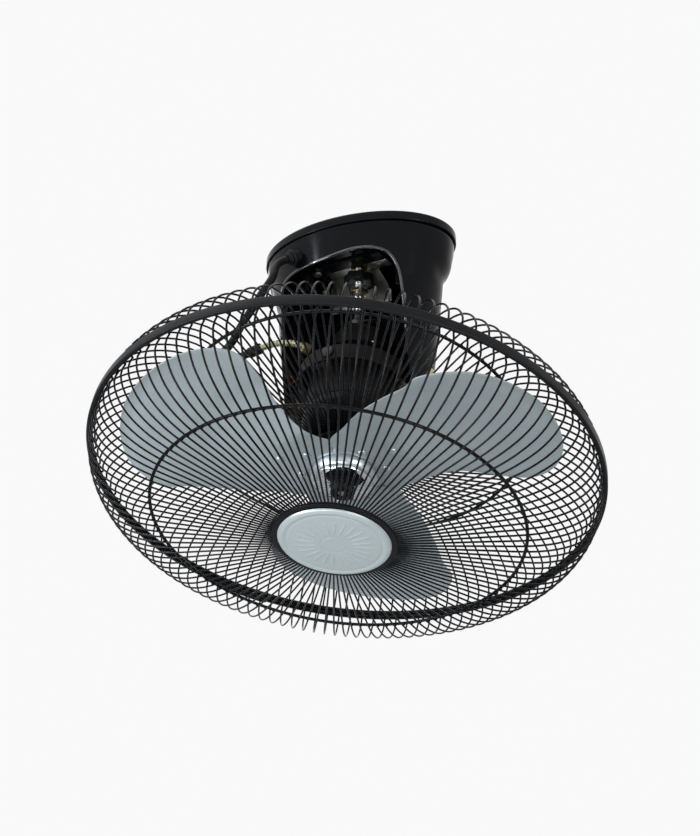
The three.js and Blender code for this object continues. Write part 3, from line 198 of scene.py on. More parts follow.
FINISH = {
    "black_gloss": finish("enamel_black", (0.004, 0.0045, 0.0055), 0.18, specular=0.1,
                          mottle=0.2, rough_spread=0.05, bump=0.05, bump_size=2.5),
    "canopy_black": finish("moulding_black", (0.003, 0.0032, 0.0042), 0.14, specular=0.1,
                           mottle=0.25, mottle_size=60, rough_spread=0.04, rough_size=45,
                           bump=0.08, bump_size=9),
    "cover_black": finish("cover_black", (0.0018, 0.0018, 0.0022), 0.22, specular=0.06,
                          mottle=0.25, rough_spread=0.06, bump=0.1, bump_size=5),
    "black_satin": finish("satin_charcoal", (0.0065, 0.0067, 0.0075), 0.42, specular=0.1,
                          mottle=0.12, mottle_size=25, rough_spread=0.08, bump=0.25,
                          bump_size=0.9),
    "wire_black": finish("wire_coat", (0.0032, 0.0034, 0.0042), 0.24, specular=0.11,
                         mottle=0.2, rough_spread=0.06, bump=0.08, bump_size=2),
    "black_plastic": finish("plastic_black", (0.006, 0.0062, 0.007), 0.4, specular=0.12,
                            mottle=0.15, bump=0.25, bump_size=0.8),
    "black_rubber": finish("rubber_black", (0.006, 0.006, 0.0066), 0.55, specular=0.12,
                           mottle=0.2, bump=0.3, bump_size=0.9),
    "cord_rubber": finish("sheath_black", (0.0055, 0.0055, 0.006), 0.44, specular=0.13,
                          mottle=0.2, mottle_size=12, rough_spread=0.1, bump=0.25, bump_size=1.4),
    "zinc": finish("zinc_sheet", (0.40, 0.40, 0.37), 0.4, metallic=1, mottle=0.16,
                   mottle_size=9, rough_spread=0.1, rough_size=8, bump=0.12, bump_size=3,
                   specks=0.15),
    "yellow_zinc": finish("zinc_yellow", (0.33, 0.31, 0.19), 0.3, metallic=0.6, mottle=0.3,
                          mottle_size=7, rough_spread=0.1, bump=0.15, bump_size=2),
    "steel": finish("steel_turned", (0.50, 0.51, 0.52), 0.3, metallic=1, mottle=0.1,
                    stretch=(1, 1, 9), rough_spread=0.08, bump=0.2, bump_size=2),
    "brass": finish("brass_turned", (0.42, 0.34, 0.17), 0.28, metallic=1, mottle=0.16,
                    mottle_size=8, rough_spread=0.08, bump=0.15, bump_size=1.6),
    "bronze": finish("bronze_sintered", (0.44, 0.25, 0.11), 0.4, metallic=1, mottle=0.2,
                     mottle_size=5, bump=0.35, bump_size=0.7),
    "copper": finish("copper", (0.55, 0.24, 0.11), 0.33, metallic=1, mottle=0.25,
                     mottle_size=6, bump=0.2, bump_size=1.5),
    "grey_casting": finish("casting_grey", (0.0045, 0.0043, 0.004), 0.5, specular=0.08,
                           mottle=0.18, mottle_size=10, rough_spread=0.1, bump=0.5,
                           bump_size=1.3, specks=0.3),
    "blade_alu": finish("blade_silver", (0.365, 0.41, 0.42), 0.38, metallic=0.5, mottle=0.035,
                        mottle_size=60, rough_spread=0.05, bump=0.07, bump_size=1.0, specks=0.05),
    "badge_grey": finish("badge_silver", (0.325, 0.365, 0.368), 0.38, metallic=0.35, mottle=0.03,
                         mottle_size=40, rough_spread=0.05, bump=0.1, bump_size=0.9, specks=0.06),
    "chrome": finish("chrome", (0.78, 0.79, 0.80), 0.07, metallic=1, mottle=0.02,
                     rough_spread=0.03, bump=0.03, bump_size=6),
    "nylon": finish("nylon_natural", (0.60, 0.56, 0.46), 0.5, specular=0.4, mottle=0.06,
                    bump=0.15, bump_size=1.0),
}
HUB_SATIN = finish("hub_satin", (0.58, 0.63, 0.66), 0.3, metallic=0.8, mottle=0.04,
                   rough_spread=0.06, bump=0.08, bump_size=1.0)
BEAD_GLOSS = finish("bead_polished", (0.008, 0.009, 0.011), 0.1, specular=0.5, coat=0.8,
                    coat_rough=0.04, mottle=0.2, mottle_size=40, rough_spread=0.03, bump=0.03,
                    bump_size=6)
PIN_BLACK = finish("pin_blacked", (0.02, 0.02, 0.022), 0.35, metallic=0.6, specular=0.15,
                   mottle=0.1, bump=0.1, bump_size=1.0)
RIVET_SILVER = finish("rivet_silver", (0.50, 0.57, 0.60), 0.26, metallic=0.7, mottle=0.05,
                      mottle_size=3, rough_spread=0.05, bump=0.1, bump_size=0.8)
for node, obj in frame["nodes"].items():
    obj.data.materials.clear()
    obj.data.materials.append(FINISH[SLOT_OF[node]])


# ------------------------------------------------------------------ mesh making
def build(name, verts, faces, stands_for=(), material=None, body=None, at=ROW, sharp=38,
          slot=None):
    """A piece from points in mm and faces. It takes body, slot and finish from the CAD
    nodes that it stands for, unless they are named."""
    nodes = [stands_for] if isinstance(stands_for, str) else list(stands_for)
    if nodes:
        body = body or BODY_OF[nodes[0]]
        slot = slot or SLOT_OF[nodes[0]]
    mesh = bpy.data.meshes.new(name)
    mesh.from_pydata((moved(verts, at) * MM).tolist(), [], faces)
    bm = bmesh.new()
    bm.from_mesh(mesh)
    bmesh.ops.recalc_face_normals(bm, faces=bm.faces)
    bm.to_mesh(mesh)
    bm.free()
    mesh.materials.append(material or FINISH[slot])
    obj = bpy.data.objects.new(name, mesh)
    scene.collection.objects.link(obj)
    smooth(obj, sharp)
    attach(obj, body)
    if nodes:
        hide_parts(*nodes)
    return obj


def smooth(obj, sharp=38):
    obj.data.shade_smooth()
    obj.data.set_sharp_from_angle(angle=math.radians(sharp))


def edit(verts, faces, bevel=0.0, segments=2, angle=30, weld=0.0):
    """The same shape with its sharp edges rounded, as points and faces."""
    bm = bmesh.new()
    vs = [bm.verts.new(tuple(v)) for v in verts]
    for f in faces:
        if len(set(f)) > 2:
            try:
                bm.faces.new([vs[i] for i in f])
            except ValueError:
                pass
    if weld:
        bmesh.ops.remove_doubles(bm, verts=bm.verts, dist=weld)
    bmesh.ops.recalc_face_normals(bm, faces=bm.faces)
    if bevel:
        edges = [e for e in bm.edges if len(e.link_faces) == 2
                 and e.calc_face_angle(0) > math.radians(angle)]
        bmesh.ops.bevel(bm, geom=edges, offset=bevel, segments=segments, profile=0.5,
                        affect="EDGES", clamp_overlap=True)
    bm.verts.index_update()
    v = [tuple(x.co) for x in bm.verts]
    f = [[x.index for x in y.verts] for y in bm.faces]
    bm.free()
    return v, f


def joined(*parts):
    verts, faces, n = [], [], 0
    for v, f in parts:
        v = np.asarray(v, float)
        verts.append(v)
        faces += [[i + n for i in x] for x in f]
        n += len(v)
    return np.vstack(verts), faces


def placed(part, at):
    return moved(part[0], at), part[1]


def rounded(profile, loop=False, steps=4):
    """A profile of (r, z) or (r, z, radius): each corner with a radius becomes an arc."""
    out, n = [], len(profile)
    for i, p in enumerate(profile):
        radius = p[2] if len(p) > 2 else 0
        if not radius or (not loop and i in (0, n - 1)):
            out.append((p[0], p[1]))
            continue
        c = np.array(p[:2], float)
        a = np.array(profile[i - 1][:2], float) - c
        b = np.array(profile[(i + 1) % n][:2], float) - c
        la, lb = np.linalg.norm(a), np.linalg.norm(b)
        a, b = a / la, b / lb
        half = math.acos(max(-1, min(1, float(a @ b)))) / 2
        if half > 1.5:
            out.append((p[0], p[1]))
            continue
        cut = min(radius / math.tan(half), la * 0.48, lb * 0.48)
        radius = cut * math.tan(half)
        centre = c + (a + b) / np.linalg.norm(a + b) * radius / math.sin(half)
        p0, p1 = c + a * cut - centre, c + b * cut - centre
        for k in range(steps + 1):
            v = p0 * (steps - k) + p1 * k
            v = centre + v / np.linalg.norm(v) * radius
            out.append((float(v[0]), float(v[1])))
    return out


def lathe(profile, seg=96, loop=False, oval=1.0):
    """A profile of (r, z[, radius]) turned about Z, with b = oval * a."""
    pts = rounded(profile, loop)
    verts, rings = [], []
    for r, z in pts:
        if r < 1e-6:
            rings.append([len(verts)])
            verts.append((0, 0, z))
        else:
            rings.append(range(len(verts), len(verts) + seg))
            verts += [(r * math.cos(TAU * i / seg), oval * r * math.sin(TAU * i / seg), z)
                      for i in range(seg)]
    faces = []
    for a, b in zip(rings, rings[1:] + ([rings[0]] if loop else [])):
        for i in range(seg):
            j = (i + 1) % seg
            if len(a) == 1 and len(b) > 1:
                faces.append([a[0], b[i], b[j]])
            elif len(b) == 1 and len(a) > 1:
                faces.append([a[i], b[0], a[j]])
            elif len(a) > 1:
                faces.append([a[i], b[i], b[j], a[j]])
    return verts, faces


def spline(points, count):
    """count points along a smooth curve through points, evenly spaced."""
    p = np.asarray(points, float)
    t = np.concatenate([[0], np.cumsum(np.linalg.norm(np.diff(p, axis=0), axis=1) ** 0.5)])
    n = len(p)
    a, rhs = np.zeros((n, n)), np.zeros((n, p.shape[1]))
    a[0, 0] = a[-1, -1] = 1
    h = np.diff(t)
    for i in range(1, n - 1):
        a[i, i - 1], a[i, i], a[i, i + 1] = h[i - 1], 2 * (h[i - 1] + h[i]), h[i]
        rhs[i] = 6 * ((p[i + 1] - p[i]) / h[i] - (p[i] - p[i - 1]) / h[i - 1])
    m = np.linalg.solve(a, rhs)
    fine = []
    for s in np.linspace(0, t[-1], count * 12):
        i = min(n - 2, int(np.searchsorted(t, s, "right")) - 1)
        d, u, v = h[i], t[i + 1] - s, s - t[i]
        fine.append((m[i] * u ** 3 + m[i + 1] * v ** 3) / (6 * d)
                    + (p[i] / d - m[i] * d / 6) * u + (p[i + 1] / d - m[i + 1] * d / 6) * v)
    return evenly(fine, count)


def evenly(points, count):
    p = np.asarray(points, float)
    s = np.concatenate([[0], np.cumsum(np.linalg.norm(np.diff(p, axis=0), axis=1))])
    return np.stack([np.interp(np.linspace(0, s[-1], count), s, p[:, k])
                     for k in range(p.shape[1])], axis=1)


def tube(path, radius, sides=16, bore=None):
    """A round tube along path; radius is one number or one for each point. With a bore it
    is hollow, and its ends are rings."""
    p = np.asarray(path, float)
    r = np.broadcast_to(np.asarray(radius, float), (len(p),))
    d = np.gradient(p, axis=0)
    d /= np.linalg.norm(d, axis=1)[:, None]
    n = np.cross(d[0], (0.31, 0.2, 0.93))
    n /= np.linalg.norm(n)
    rings = []
    for i in range(len(p)):
        n = n - d[i] * (n @ d[i])
        n /= np.linalg.norm(n)
        b = np.cross(d[i], n)
        a = np.arange(sides) * TAU / sides
        rings.append((p[i], n.copy(), b, np.cos(a)[:, None], np.sin(a)[:, None], r[i]))

    def layer(scale):
        return np.vstack([c + (n * ca + b * sa) * (scale(rr))
                          for c, n, b, ca, sa, rr in rings])

    verts = layer(lambda x: x)
    count, faces = len(p), []
    for k in range(count - 1):
        for i in range(sides):
            j = (i + 1) % sides
            faces.append([k * sides + i, k * sides + j, (k + 1) * sides + j, (k + 1) * sides + i])
    if bore is None:
        faces.append(list(range(sides))[::-1])
        faces.append([(count - 1) * sides + i for i in range(sides)])
        return verts, faces
    off = len(verts)
    verts = np.vstack([verts, layer(lambda x: bore)])
    faces += [[i + off for i in f][::-1] for f in list(faces)]
    for k in (0, count - 1):
        for i in range(sides):
            j = (i + 1) % sides
            faces.append([k * sides + i, k * sides + j, off + k * sides + j, off + k * sides + i])
    return verts, faces


def prism(outline, z0, z1, holes=0.0):
    """A straight-sided solid over an outline that is star-shaped about the origin; with a
    round hole of radius holes at the origin."""
    o = np.asarray(outline, float)
    n = len(o)
    verts = [(x, y, z) for z in (z0, z1) for x, y in o]
    faces = [[i, (i + 1) % n, n + (i + 1) % n, n + i] for i in range(n)]
    if not holes:
        return verts, faces + [list(range(n))[::-1], [n + i for i in range(n)]]
    ang = np.arctan2(o[:, 1], o[:, 0])
    verts += [(holes * math.cos(a), holes * math.sin(a), z) for z in (z0, z1) for a in ang]
    for i in range(n):
        j = (i + 1) % n
        faces += [[j, i, 2 * n + i, 2 * n + j], [n + i, n + j, 3 * n + j, 3 * n + i],
                  [2 * n + j, 2 * n + i, 3 * n + i, 3 * n + j]]
    return verts, faces


def block(x0, x1, y0, y1, z0, z1, bevel=0.6, segments=3):
    part = prism([(x0, y0), (x1, y0), (x1, y1), (x0, y1)], z0, z1)
    return edit(*part, bevel=bevel, segments=segments)


def carve(obj, cutters, operation="DIFFERENCE", sharp=38):
    """Cuts or adds parts, each (points in the row frame in mm, faces), in one boolean."""
    v, f = joined(*cutters)
    mesh = bpy.data.meshes.new("cutter")
    mesh.from_pydata((v * MM).tolist(), [], f)
    bm = bmesh.new()
    bm.from_mesh(mesh)
    bmesh.ops.recalc_face_normals(bm, faces=bm.faces)
    bm.to_mesh(mesh)
    bm.free()
    tool = bpy.data.objects.new("cutter", mesh)
    scene.collection.objects.link(tool)
    mod = obj.modifiers.new("cut", "BOOLEAN")
    mod.operation, mod.solver, mod.object = operation, "EXACT", tool
    deps = bpy.context.evaluated_depsgraph_get()
    made = bpy.data.meshes.new_from_object(obj.evaluated_get(deps), depsgraph=deps)
    obj.modifiers.clear()
    old, obj.data = obj.data, made
    bpy.data.meshes.remove(old)
    bpy.data.objects.remove(tool)
    smooth(obj, sharp)
    return obj


def cross_recess(obj, reach, half, z0, z1, at):
    """The driver's cross in a screw head, as one star-shaped cut."""
    h, r = half, reach
    outline = [(r, -h), (r, h), (h, h), (h, r), (-h, r), (-h, h), (-r, h), (-r, -h), (-h, -h),
               (-h, -r), (h, -r), (h, -h)]
    return carve(obj, [placed(prism(outline, z0, z1), at)])


def drum(r, z0, z1, at=ROW, seg=32):
    return placed(lathe([(0, z0), (r, z0), (r, z1), (0, z1)], seg), at)


def hex_nut(af, z0, z1, bore, washer=0.0):
    """A hexagon nut with turned chamfers: af is its corner radius."""
    n, flat = 96, af * math.cos(math.pi / 6)
    rows = []
    for r_of, z_of in (
            (lambda c: bore + 0.5, lambda c: z0), (lambda c: flat * 0.97, lambda c: z0),
            (lambda c: c, lambda c: z0 + (c - flat * 0.97) * 0.58),
            (lambda c: c, lambda c: z1 - (c - flat * 0.97) * 0.58),
            (lambda c: flat * 0.97, lambda c: z1), (lambda c: bore + 0.5, lambda c: z1),
            (lambda c: bore, lambda c: z1 - 0.5), (lambda c: bore, lambda c: z0 + 0.5)):
        row = []
        for i in range(n):
            a = TAU * i / n
            c = flat / math.cos((a + math.pi / 6) % (math.pi / 3) - math.pi / 6)
            row.append((r_of(c) * math.cos(a), r_of(c) * math.sin(a), z_of(c)))
        rows.append(row)
    verts = [p for row in rows for p in row]
    faces = [[k * n + i, k * n + (i + 1) % n, ((k + 1) % len(rows)) * n + (i + 1) % n,
              ((k + 1) % len(rows)) * n + i] for k in range(len(rows)) for i in range(n)]
    return verts, faces


def threaded(r, depth, pitch, z0, z1, seg=32, step=0.25):
    """A screw thread as one skin, with plain ends."""
    levels = np.arange(z0, z1 + step / 2, step)
    verts, faces = [], []
    for z in levels:
        for i in range(seg):
            a = TAU * i / seg
            ph = ((z / pitch) - i / seg) % 1
            cut = depth * (1 - abs(2 * ph - 1)) * (1 if z0 + 1 < z < z1 - 1 else 0.8)
            verts.append(((r - cut) * math.cos(a), (r - cut) * math.sin(a), z))
    for k in range(len(levels) - 1):
        for i in range(seg):
            j = (i + 1) % seg
            faces.append([k * seg + i, k * seg + j, (k + 1) * seg + j, (k + 1) * seg + i])
    last = (len(levels) - 1) * seg
    faces += [list(range(seg))[::-1], [last + i for i in range(seg)]]
    return verts, faces


# ------------------------------------------------------------------ cords, next after the camera
CORD_R = 3.75
GAP = 0.3
GROMMET_AT = np.array([-35.5, -60.6, -28.5])
GROMMET_DIR = np.array([-0.48, -0.74, -0.47]) / np.linalg.norm([-0.48, -0.74, -0.47])
GROMMET_LEN = 10
CORD_UPPER = [(-45.1, -78.7, -43.6), (-44.5, -85, -58.8), (-50.5, -91, -75.6),
              (-59, -94.6, -92.8), (-69.6, -96.1, -109.1)]
CORD_SPLIT = np.array([-82, -94.6, -124.6])
CORD_LOWER = [(-97.3, -92.2, -132.2), (-115, -86.3, -131.7), (-122.6, -70.1, -125.5),
              (-114.3, -55.1, -118.5)]
INLET_AT = np.array([-34.216, -40.984, 28])
INLET_PATH = np.array([(0, 0, 0), (-5.3, -8.4, 1.2), (-14.3, -14.4, 1.8), (-25.8, -17.8, 2),
                       (-38.8, -19, 1), (-51.2, -18.7, -0.8)]) + INLET_AT
INLET_R, INLET_BORE, SLEEVE_LEN = 3.4, 2.5, 15
tube_end = moved(INLET_PATH[-1], HEAD)
tube_run = tube_end - moved(INLET_PATH[-2], HEAD)
tube_run /= np.linalg.norm(tube_run)
cord_end = tube_end + tube_run * (SLEEVE_LEN * 0.4 + GAP)
split_run = np.array(CORD_LOWER[0]) - np.array(CORD_UPPER[-1])
split_run /= np.linalg.norm(split_run)
upper_path = spline([GROMMET_AT + GROMMET_DIR * (GROMMET_LEN + GAP),
                     GROMMET_AT + GROMMET_DIR * (GROMMET_LEN + 4), *CORD_UPPER,
                     CORD_SPLIT - split_run * 4, CORD_SPLIT - split_run * GAP / 2], 56)
lower_path = spline([CORD_SPLIT + split_run * GAP / 2, CORD_SPLIT + split_run * 4, *CORD_LOWER,
                     cord_end + tube_run * 4, cord_end], 60)


def cord(name, node, path):
    piece = build(name, *tube(path, CORD_R, 24), node, sharp=60)
    piece.parent = None
    piece.matrix_world = Matrix.Identity(4)
    del piece["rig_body"]
    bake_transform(piece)
    return piece


cord("supply_cord_upper_sheath", "supply_cord_upper", upper_path)
cord("supply_cord_lower_sheath", "supply_cord_lower", lower_path)

# ------------------------------------------------------------------ grommet
grommet = lathe([(4.25, -8), (6.4, -8, 0.6), (6.4, 3.4, 0.3), (8.6, 3.6, 0.5),
                 (8.6, 5.6, 0.8), (5.4, 6, 0.5), (6.8, 6.8, 0.4), (6.7, 8.0, 0.5), (5.2, 8.6, 0.4),
                 (6.0, 9.3, 0.3), (5.4, GROMMET_LEN, 0.4), (4.1, GROMMET_LEN)], 64, loop=True)
build("cord_grommet_ribbed", *placed(grommet, aim(GROMMET_AT, GROMMET_DIR)), "cord_grommet")

# ------------------------------------------------------------------ canopy shell
OVAL = 67.3 / 100.5
WALL = 3.2
LEG_END_R = 23
ROOF_Z = -9.3                    # top of the shell, under the ceiling plate
SKIN = np.array([(-9.3, 97.4), (-10.6, 98.6), (-18, 97.9), (-27, 96.5), (-34, 95), (-38, 93.4),
                 (-43, 90.4), (-47, 88.0), (-52, 86.8), (-62, 86), (-80, 84.1), (-108, 81.4),
                 (-130, 78.9), (-152, 76), (-180, 72.8)])
PLAIN = np.array([(-9.3, 97.4), (-10.6, 98.6), (-62, 86), (-108, 81.4), (-152, 76),
                  (-180, 72.8)])
FADE_RIGHT, FADE_LEFT = (3.2, 0.9), (6, 2.6)     # slope and offset over the side angle's sine
heights = np.arange(-180, -9.2, 0.1)
skin_raw = np.interp(heights, SKIN[::-1, 0], SKIN[::-1, 1])
kernel = np.hanning(31) / np.hanning(31).sum()
skin_soft = np.convolve(np.pad(skin_raw, 15, mode="edge"), kernel, "valid")
skin_soft = np.where(heights > -12, skin_raw, skin_soft)
FRONT_LIP = [(-68.6, -200), (-67.8, -120), (-67.2, -86), (-66.4, -68), (-64.4, -54.5),
             (-60.2, -46.6), (-51, -42.2), (-37.5, -40), (-13.9, -38.8), (3.5, -37.3),
             (14, -35.8), (24, -34.6), (34, -34.2), (43, -34.9), (51.9, -37.4), (57.3, -41),
             (61.2, -47), (63.8, -55), (65.2, -68), (66.2, -86), (67, -120), (68, -200)]
REAR_LIP = [(0, -121), (14, -121.3), (28, -122.6), (42, -126), (54, -131.6), (62, -138),
            (66, -146), (67.2, -158), (68, -200)]


def lip_line(points, count=400):
    p = spline(points, count)
    return p[:, 0], p[:, 1]


FRONT_X, FRONT_Z = lip_line(FRONT_LIP)
REAR_X, REAR_Z = lip_line(REAR_LIP)


def leg_y(z):
    tip = -PIVOT_DROP
    slant = np.interp(z, [tip, tip + LEG_END_R], [LEG_END_R, LEG_END_R * 1.45])
    arc = np.sqrt(np.maximum(0, LEG_END_R ** 2 - (z - tip) ** 2))
    return np.where(z > tip + LEG_END_R, 999, np.where(z > tip, slant, arc))


def skin(z):
    return np.interp(z, heights, skin_soft)


def side_a(z, t):
    """The half length of the oval through a point of the skin: the front has no shoulder."""
    step = skin(z)
    plain = np.interp(z, PLAIN[::-1, 0], PLAIN[::-1, 1])
    c, s = np.cos(t), np.sin(t)
    w = np.where(c > 0, np.clip(s * FADE_RIGHT[0] + FADE_RIGHT[1], 0, 1),
                 np.clip(s * FADE_LEFT[0] + FADE_LEFT[1], 0, 1))
    w = w * w * (3 - 2 * w)
    return step * w + plain * (1 - w)


def low_edge(theta):
    """The height at which each side line of the shell ends."""
    z = np.arange(-10, -176, -0.1)[None, :]
    c, s = np.cos(theta)[:, None], np.sin(theta)[:, None]
    a = side_a(z, theta[:, None])
    x = a * c
    top = np.where(s < 0, np.interp(x, FRONT_X, FRONT_Z), np.interp(np.abs(x), REAR_X, REAR_Z))
    out = (z < top) | (np.abs(a * OVAL * s) > leg_y(z))
    first = np.where(out.any(1), out.argmax(1), z.shape[1] - 1)
    return z[0, first]


theta = np.linspace(0, TAU, 6001)
edge_z = low_edge(theta)
along = np.cumsum(np.hypot(np.diff(theta) * 80, np.diff(edge_z)))
COLUMNS = 540
pick = np.interp(np.linspace(0, along[-1], COLUMNS + 1)[:-1], np.concatenate([[0], along]), theta)
edge_z = low_edge(pick)
rows = []
for k in (0.02, 0.3, 0.6, 0.85):
    rows.append([(97.4 * k * math.cos(t), 97.4 * OVAL * k * math.sin(t), ROOF_Z) for t in pick])
DOWN = 66
for k in range(DOWN + 1):
    z = ROOF_Z + (edge_z - ROOF_Z) * k / DOWN
    a = side_a(z, pick)
    rows.append(np.stack([a * np.cos(pick), a * OVAL * np.sin(pick), z], 1))
roof_in = ROOF_Z - WALL
for k in range(DOWN, -1, -1):
    z = (roof_in - 4) + (np.minimum(edge_z, roof_in - 6) - (roof_in - 4)) * k / DOWN
    z = np.where(k == DOWN, edge_z, z)
    a = side_a(z, pick)
    rows.append(np.stack([(a - WALL) * np.cos(pick), (a * OVAL - WALL) * np.sin(pick), z], 1))
for inset, z in ((1.2, roof_in - 1.2), (4, roof_in)):
    rows.append([((95 - inset) * math.cos(t), (95 * OVAL - inset) * math.sin(t), z) for t in pick])
for k in (0.85, 0.6, 0.3, 0.02):
    rows.append([(91 * k * math.cos(t), 60 * k * math.sin(t), roof_in) for t in pick])
verts = np.vstack([np.asarray(r, float) for r in rows])
faces = []
for k in range(len(rows) - 1):
    for i in range(COLUMNS):
        j = (i + 1) % COLUMNS
        faces.append([k * COLUMNS + i, k * COLUMNS + j, (k + 1) * COLUMNS + j,
                      (k + 1) * COLUMNS + i])
faces.append(list(range(COLUMNS)))
faces.append([(len(rows) - 1) * COLUMNS + i for i in range(COLUMNS)][::-1])
verts, faces = edit(verts, faces, bevel=1.4, segments=4, angle=62)
shell = build("canopy_shell", verts, faces, "canopy_housing", sharp=50)
leg_out = float(skin(-PIVOT_DROP))
leg_in = leg_out - WALL
cuts = [drum(4.3, -16, -6), drum(9, -16, -6, aim((-34, 26, 0), (0, 0, 1))),
        drum(6.7, -14, 8, aim(GROMMET_AT, GROMMET_DIR), 48)]
for s in (1, -1):
    cuts += [drum(2.8, -16, -6, aim((48 * s, 0, 0), (0, 0, 1))),
             drum(4.4, 60, leg_out - 0.9, aim((0, 0, -PIVOT_DROP), (s, 0, 0))),
             drum(8.2, leg_out - 0.9, leg_out + 9, aim((0, 0, -PIVOT_DROP), (s, 0, 0)), 64)]
carve(shell, cuts, sharp=45)

# a polished bead that runs round the front arch
front = [k for k in range(COLUMNS) if math.sin(pick[k]) < 0 and edge_z[k] > -118
         and abs(side_a(edge_z[k], pick[k]) * math.cos(pick[k])) < 67.4]
bead = np.array([(side_a(edge_z[k], pick[k]) * math.cos(pick[k]),
                  side_a(edge_z[k], pick[k]) * OVAL * math.sin(pick[k]), edge_z[k])
                 for k in front])
bead[:, 1] += 1.0
bead = evenly(bead, 260)
build("canopy_arch_bead", *tube(bead, 1.45, 16), body="canopy", slot="canopy_black",
      material=BEAD_GLOSS, sharp=60)

# ------------------------------------------------------------------ ceiling plate
plate = lathe([(0, 0), (99.3, 0, 1.2), (100.5, -1.4, 1), (100.5, -9, 0.5), (98.3, -9, 0.4),
               (98.3, -2.5, 1.2), (0, -2.5)], 192, oval=OVAL)
plate = build("ceiling_plate_pressed", *plate, "ceiling_plate")
holes = [drum(9, -4, 1, aim((-34, 26, 0), (0, 0, 1)), 48)]
holes += [drum(3, -4, 1, aim((62 * i, 30 * j, 0), (0, 0, 1))) for i in (1, -1) for j in (1, -1)]
carve(plate, holes)

# ------------------------------------------------------------------ inside the canopy
SEAT = ROOF_Z - WALL - GAP
BRACKET_X, BRACKET_Y = -6, 16.5
low = SEAT - 41
shoulder = [(-34, SEAT), (-34, low), (33.4, low)]
shoulder += [(float(x), float(z)) for x, z in spline(
    [(33.4, low), (32.4, low + 8), (29.8, low + 17), (26, low + 25.5), (21, low + 34),
     (18.6, low + 39)], 14)[1:]]
shoulder += [(18.6, SEAT)]
n = len(shoulder)
web = ([(x + BRACKET_X, y, z) for y in (BRACKET_Y, BRACKET_Y + 2) for x, z in shoulder],
       [list(range(n)), [n + i for i in range(n)][::-1]]
       + [[i, (i + 1) % n, n + (i + 1) % n, n + i] for i in range(n)])
build("hanger_bracket_web", *edit(*web, bevel=0.35, segments=2, angle=40), "hanger_bracket")
PAINTED_SHADE_EDGE = BRACKET_Y - 13            # the ceiling flange is bare zinc behind this line; before it, it is coloured black as painted shade
flange = block(-34 + BRACKET_X, 34 + BRACKET_X, PAINTED_SHADE_EDGE + 0.1, BRACKET_Y - 0.1, SEAT - 2, SEAT, 0.4)
build("hanger_bracket_flange", *flange, body="canopy", slot="zinc")
# the front part of the zinc flange, with the black gloss finish as painted shade
flange = block(-34 + BRACKET_X, 34 + BRACKET_X, BRACKET_Y - 28.2, PAINTED_SHADE_EDGE, SEAT - 2, SEAT, 0.4)
flange = build("hanger_bracket_pad", *flange, body="canopy", slot="black_gloss")
carve(flange, [drum(4.3, SEAT - 4, SEAT + 2)])

for side_name, s in (("right", 1), ("left", -1)):
    head = lathe([(0, -2.8), (2.5, -2.8), (2.5, -12.8), (5, -12.8, 0.4), (4.7, -15.0, 0.8),
                  (3.0, -15.7, 1.0), (0, -15.8)], 40)
    screw = build(f"roof_screw_{side_name}_pan", *placed(head, aim((48 * s, 0, 0), (0, 0, 1))),
                  f"roof_screw_{side_name}")
    cross_recess(screw, 3, 0.5, -17, -14.6, aim((48 * s, 0, 0), (0, 0, 1)))

STUD_LOW = -57
stud = joined(threaded(4, 0.55, 1.25, -48.6, -3.6, 36, 0.25),
              lathe([(0, -48.2), (4, -48.2), (4, -48.6, 1), (5.4, -51, 1.6), (5.4, -54, 1.8),
                     (3.2, -56.4, 1.2), (0, STUD_LOW)], 36))
build("centre_stud_threaded", *stud, "centre_stud")
nut_top = SEAT - 2 - GAP
build("stud_nut_upper_hex", *hex_nut(8, nut_top - 6.5, nut_top, 4.15), "stud_nut_upper")
lobes = []
for i in range(168):
    t = TAU * i / 168
    lobes.append((15 - 2.6 * (0.5 - 0.5 * math.cos(7 * t)), t))
rows = []
for dr, z in ((-2.2, -28), (-0.9, -28.3), (-0.2, -29), (0, -30), (0, -35.5),
              (-0.2, -36.6), (-0.9, -37.2), (-2.2, -37.5), (-8.6, -36.4)):
    rows.append([((max(4.2, r + dr)) * math.cos(t), max(4.2, r + dr) * math.sin(t), z)
                 for r, t in lobes])
rows = [[(4.2 * math.cos(t), 4.2 * math.sin(t), -28) for _, t in lobes]] + rows
rows += [[(4.2 * math.cos(t), 4.2 * math.sin(t), -36.4) for _, t in lobes]]
n = len(lobes)
knob = ([p for r in rows for p in r],
        [[k * n + i, k * n + (i + 1) % n, ((k + 1) % len(rows)) * n + (i + 1) % n,
          ((k + 1) % len(rows)) * n + i] for k in range(len(rows)) for i in range(n)])
build("stud_knob_lobed", *knob, "stud_knob")
nut_low = STUD_LOW + 8.6 + GAP
build("stud_nut_lower_hex", *joined(
    lathe([(4.2, nut_low), (9.2, nut_low, 0.3), (9.2, nut_low + 1.4, 0.3), (4.2, nut_low + 1.4)],
          48, loop=True),
    hex_nut(7.2, nut_low + 1.3, nut_low + 4.6, 4.15)), "stud_nut_lower")

terminal = [block(-60, -30, 30, 42, SEAT - 12, SEAT, 0.8)]
for k in range(3):
    x = -55 + 10 * k
    terminal.append(block(x - 3.4, x + 3.4, 28.6, 30.4, SEAT - 10.5, SEAT - 3.5, 0.5))
terminal = build("terminal_block_body", *joined(*terminal), "terminal_block")
carve(terminal, [drum(1.8, -3, 5, aim((-55 + 10 * k, 28.4, SEAT - 7), (0, 1, 0)))
                 for k in range(3)]
      + [drum(2, -1.5, 3, aim((-55 + 10 * k, 36, SEAT - 12), (0, 0, 1))) for k in range(3)])
for k in range(3):
    build(f"terminal_screw_{k + 1}", *lathe(
        [(0, SEAT - 11.6), (1.7, SEAT - 11.6, 0.3), (1.7, SEAT - 9, 0.2), (0, SEAT - 9)], 20),
        body="canopy", slot="brass", at=aim((-55 + 10 * k, 36, 0), (0, 0, 1)))
build("capacitor_case", *block(26, 54, 24, 40, SEAT - 21, SEAT, 2.6, 5), "capacitor")

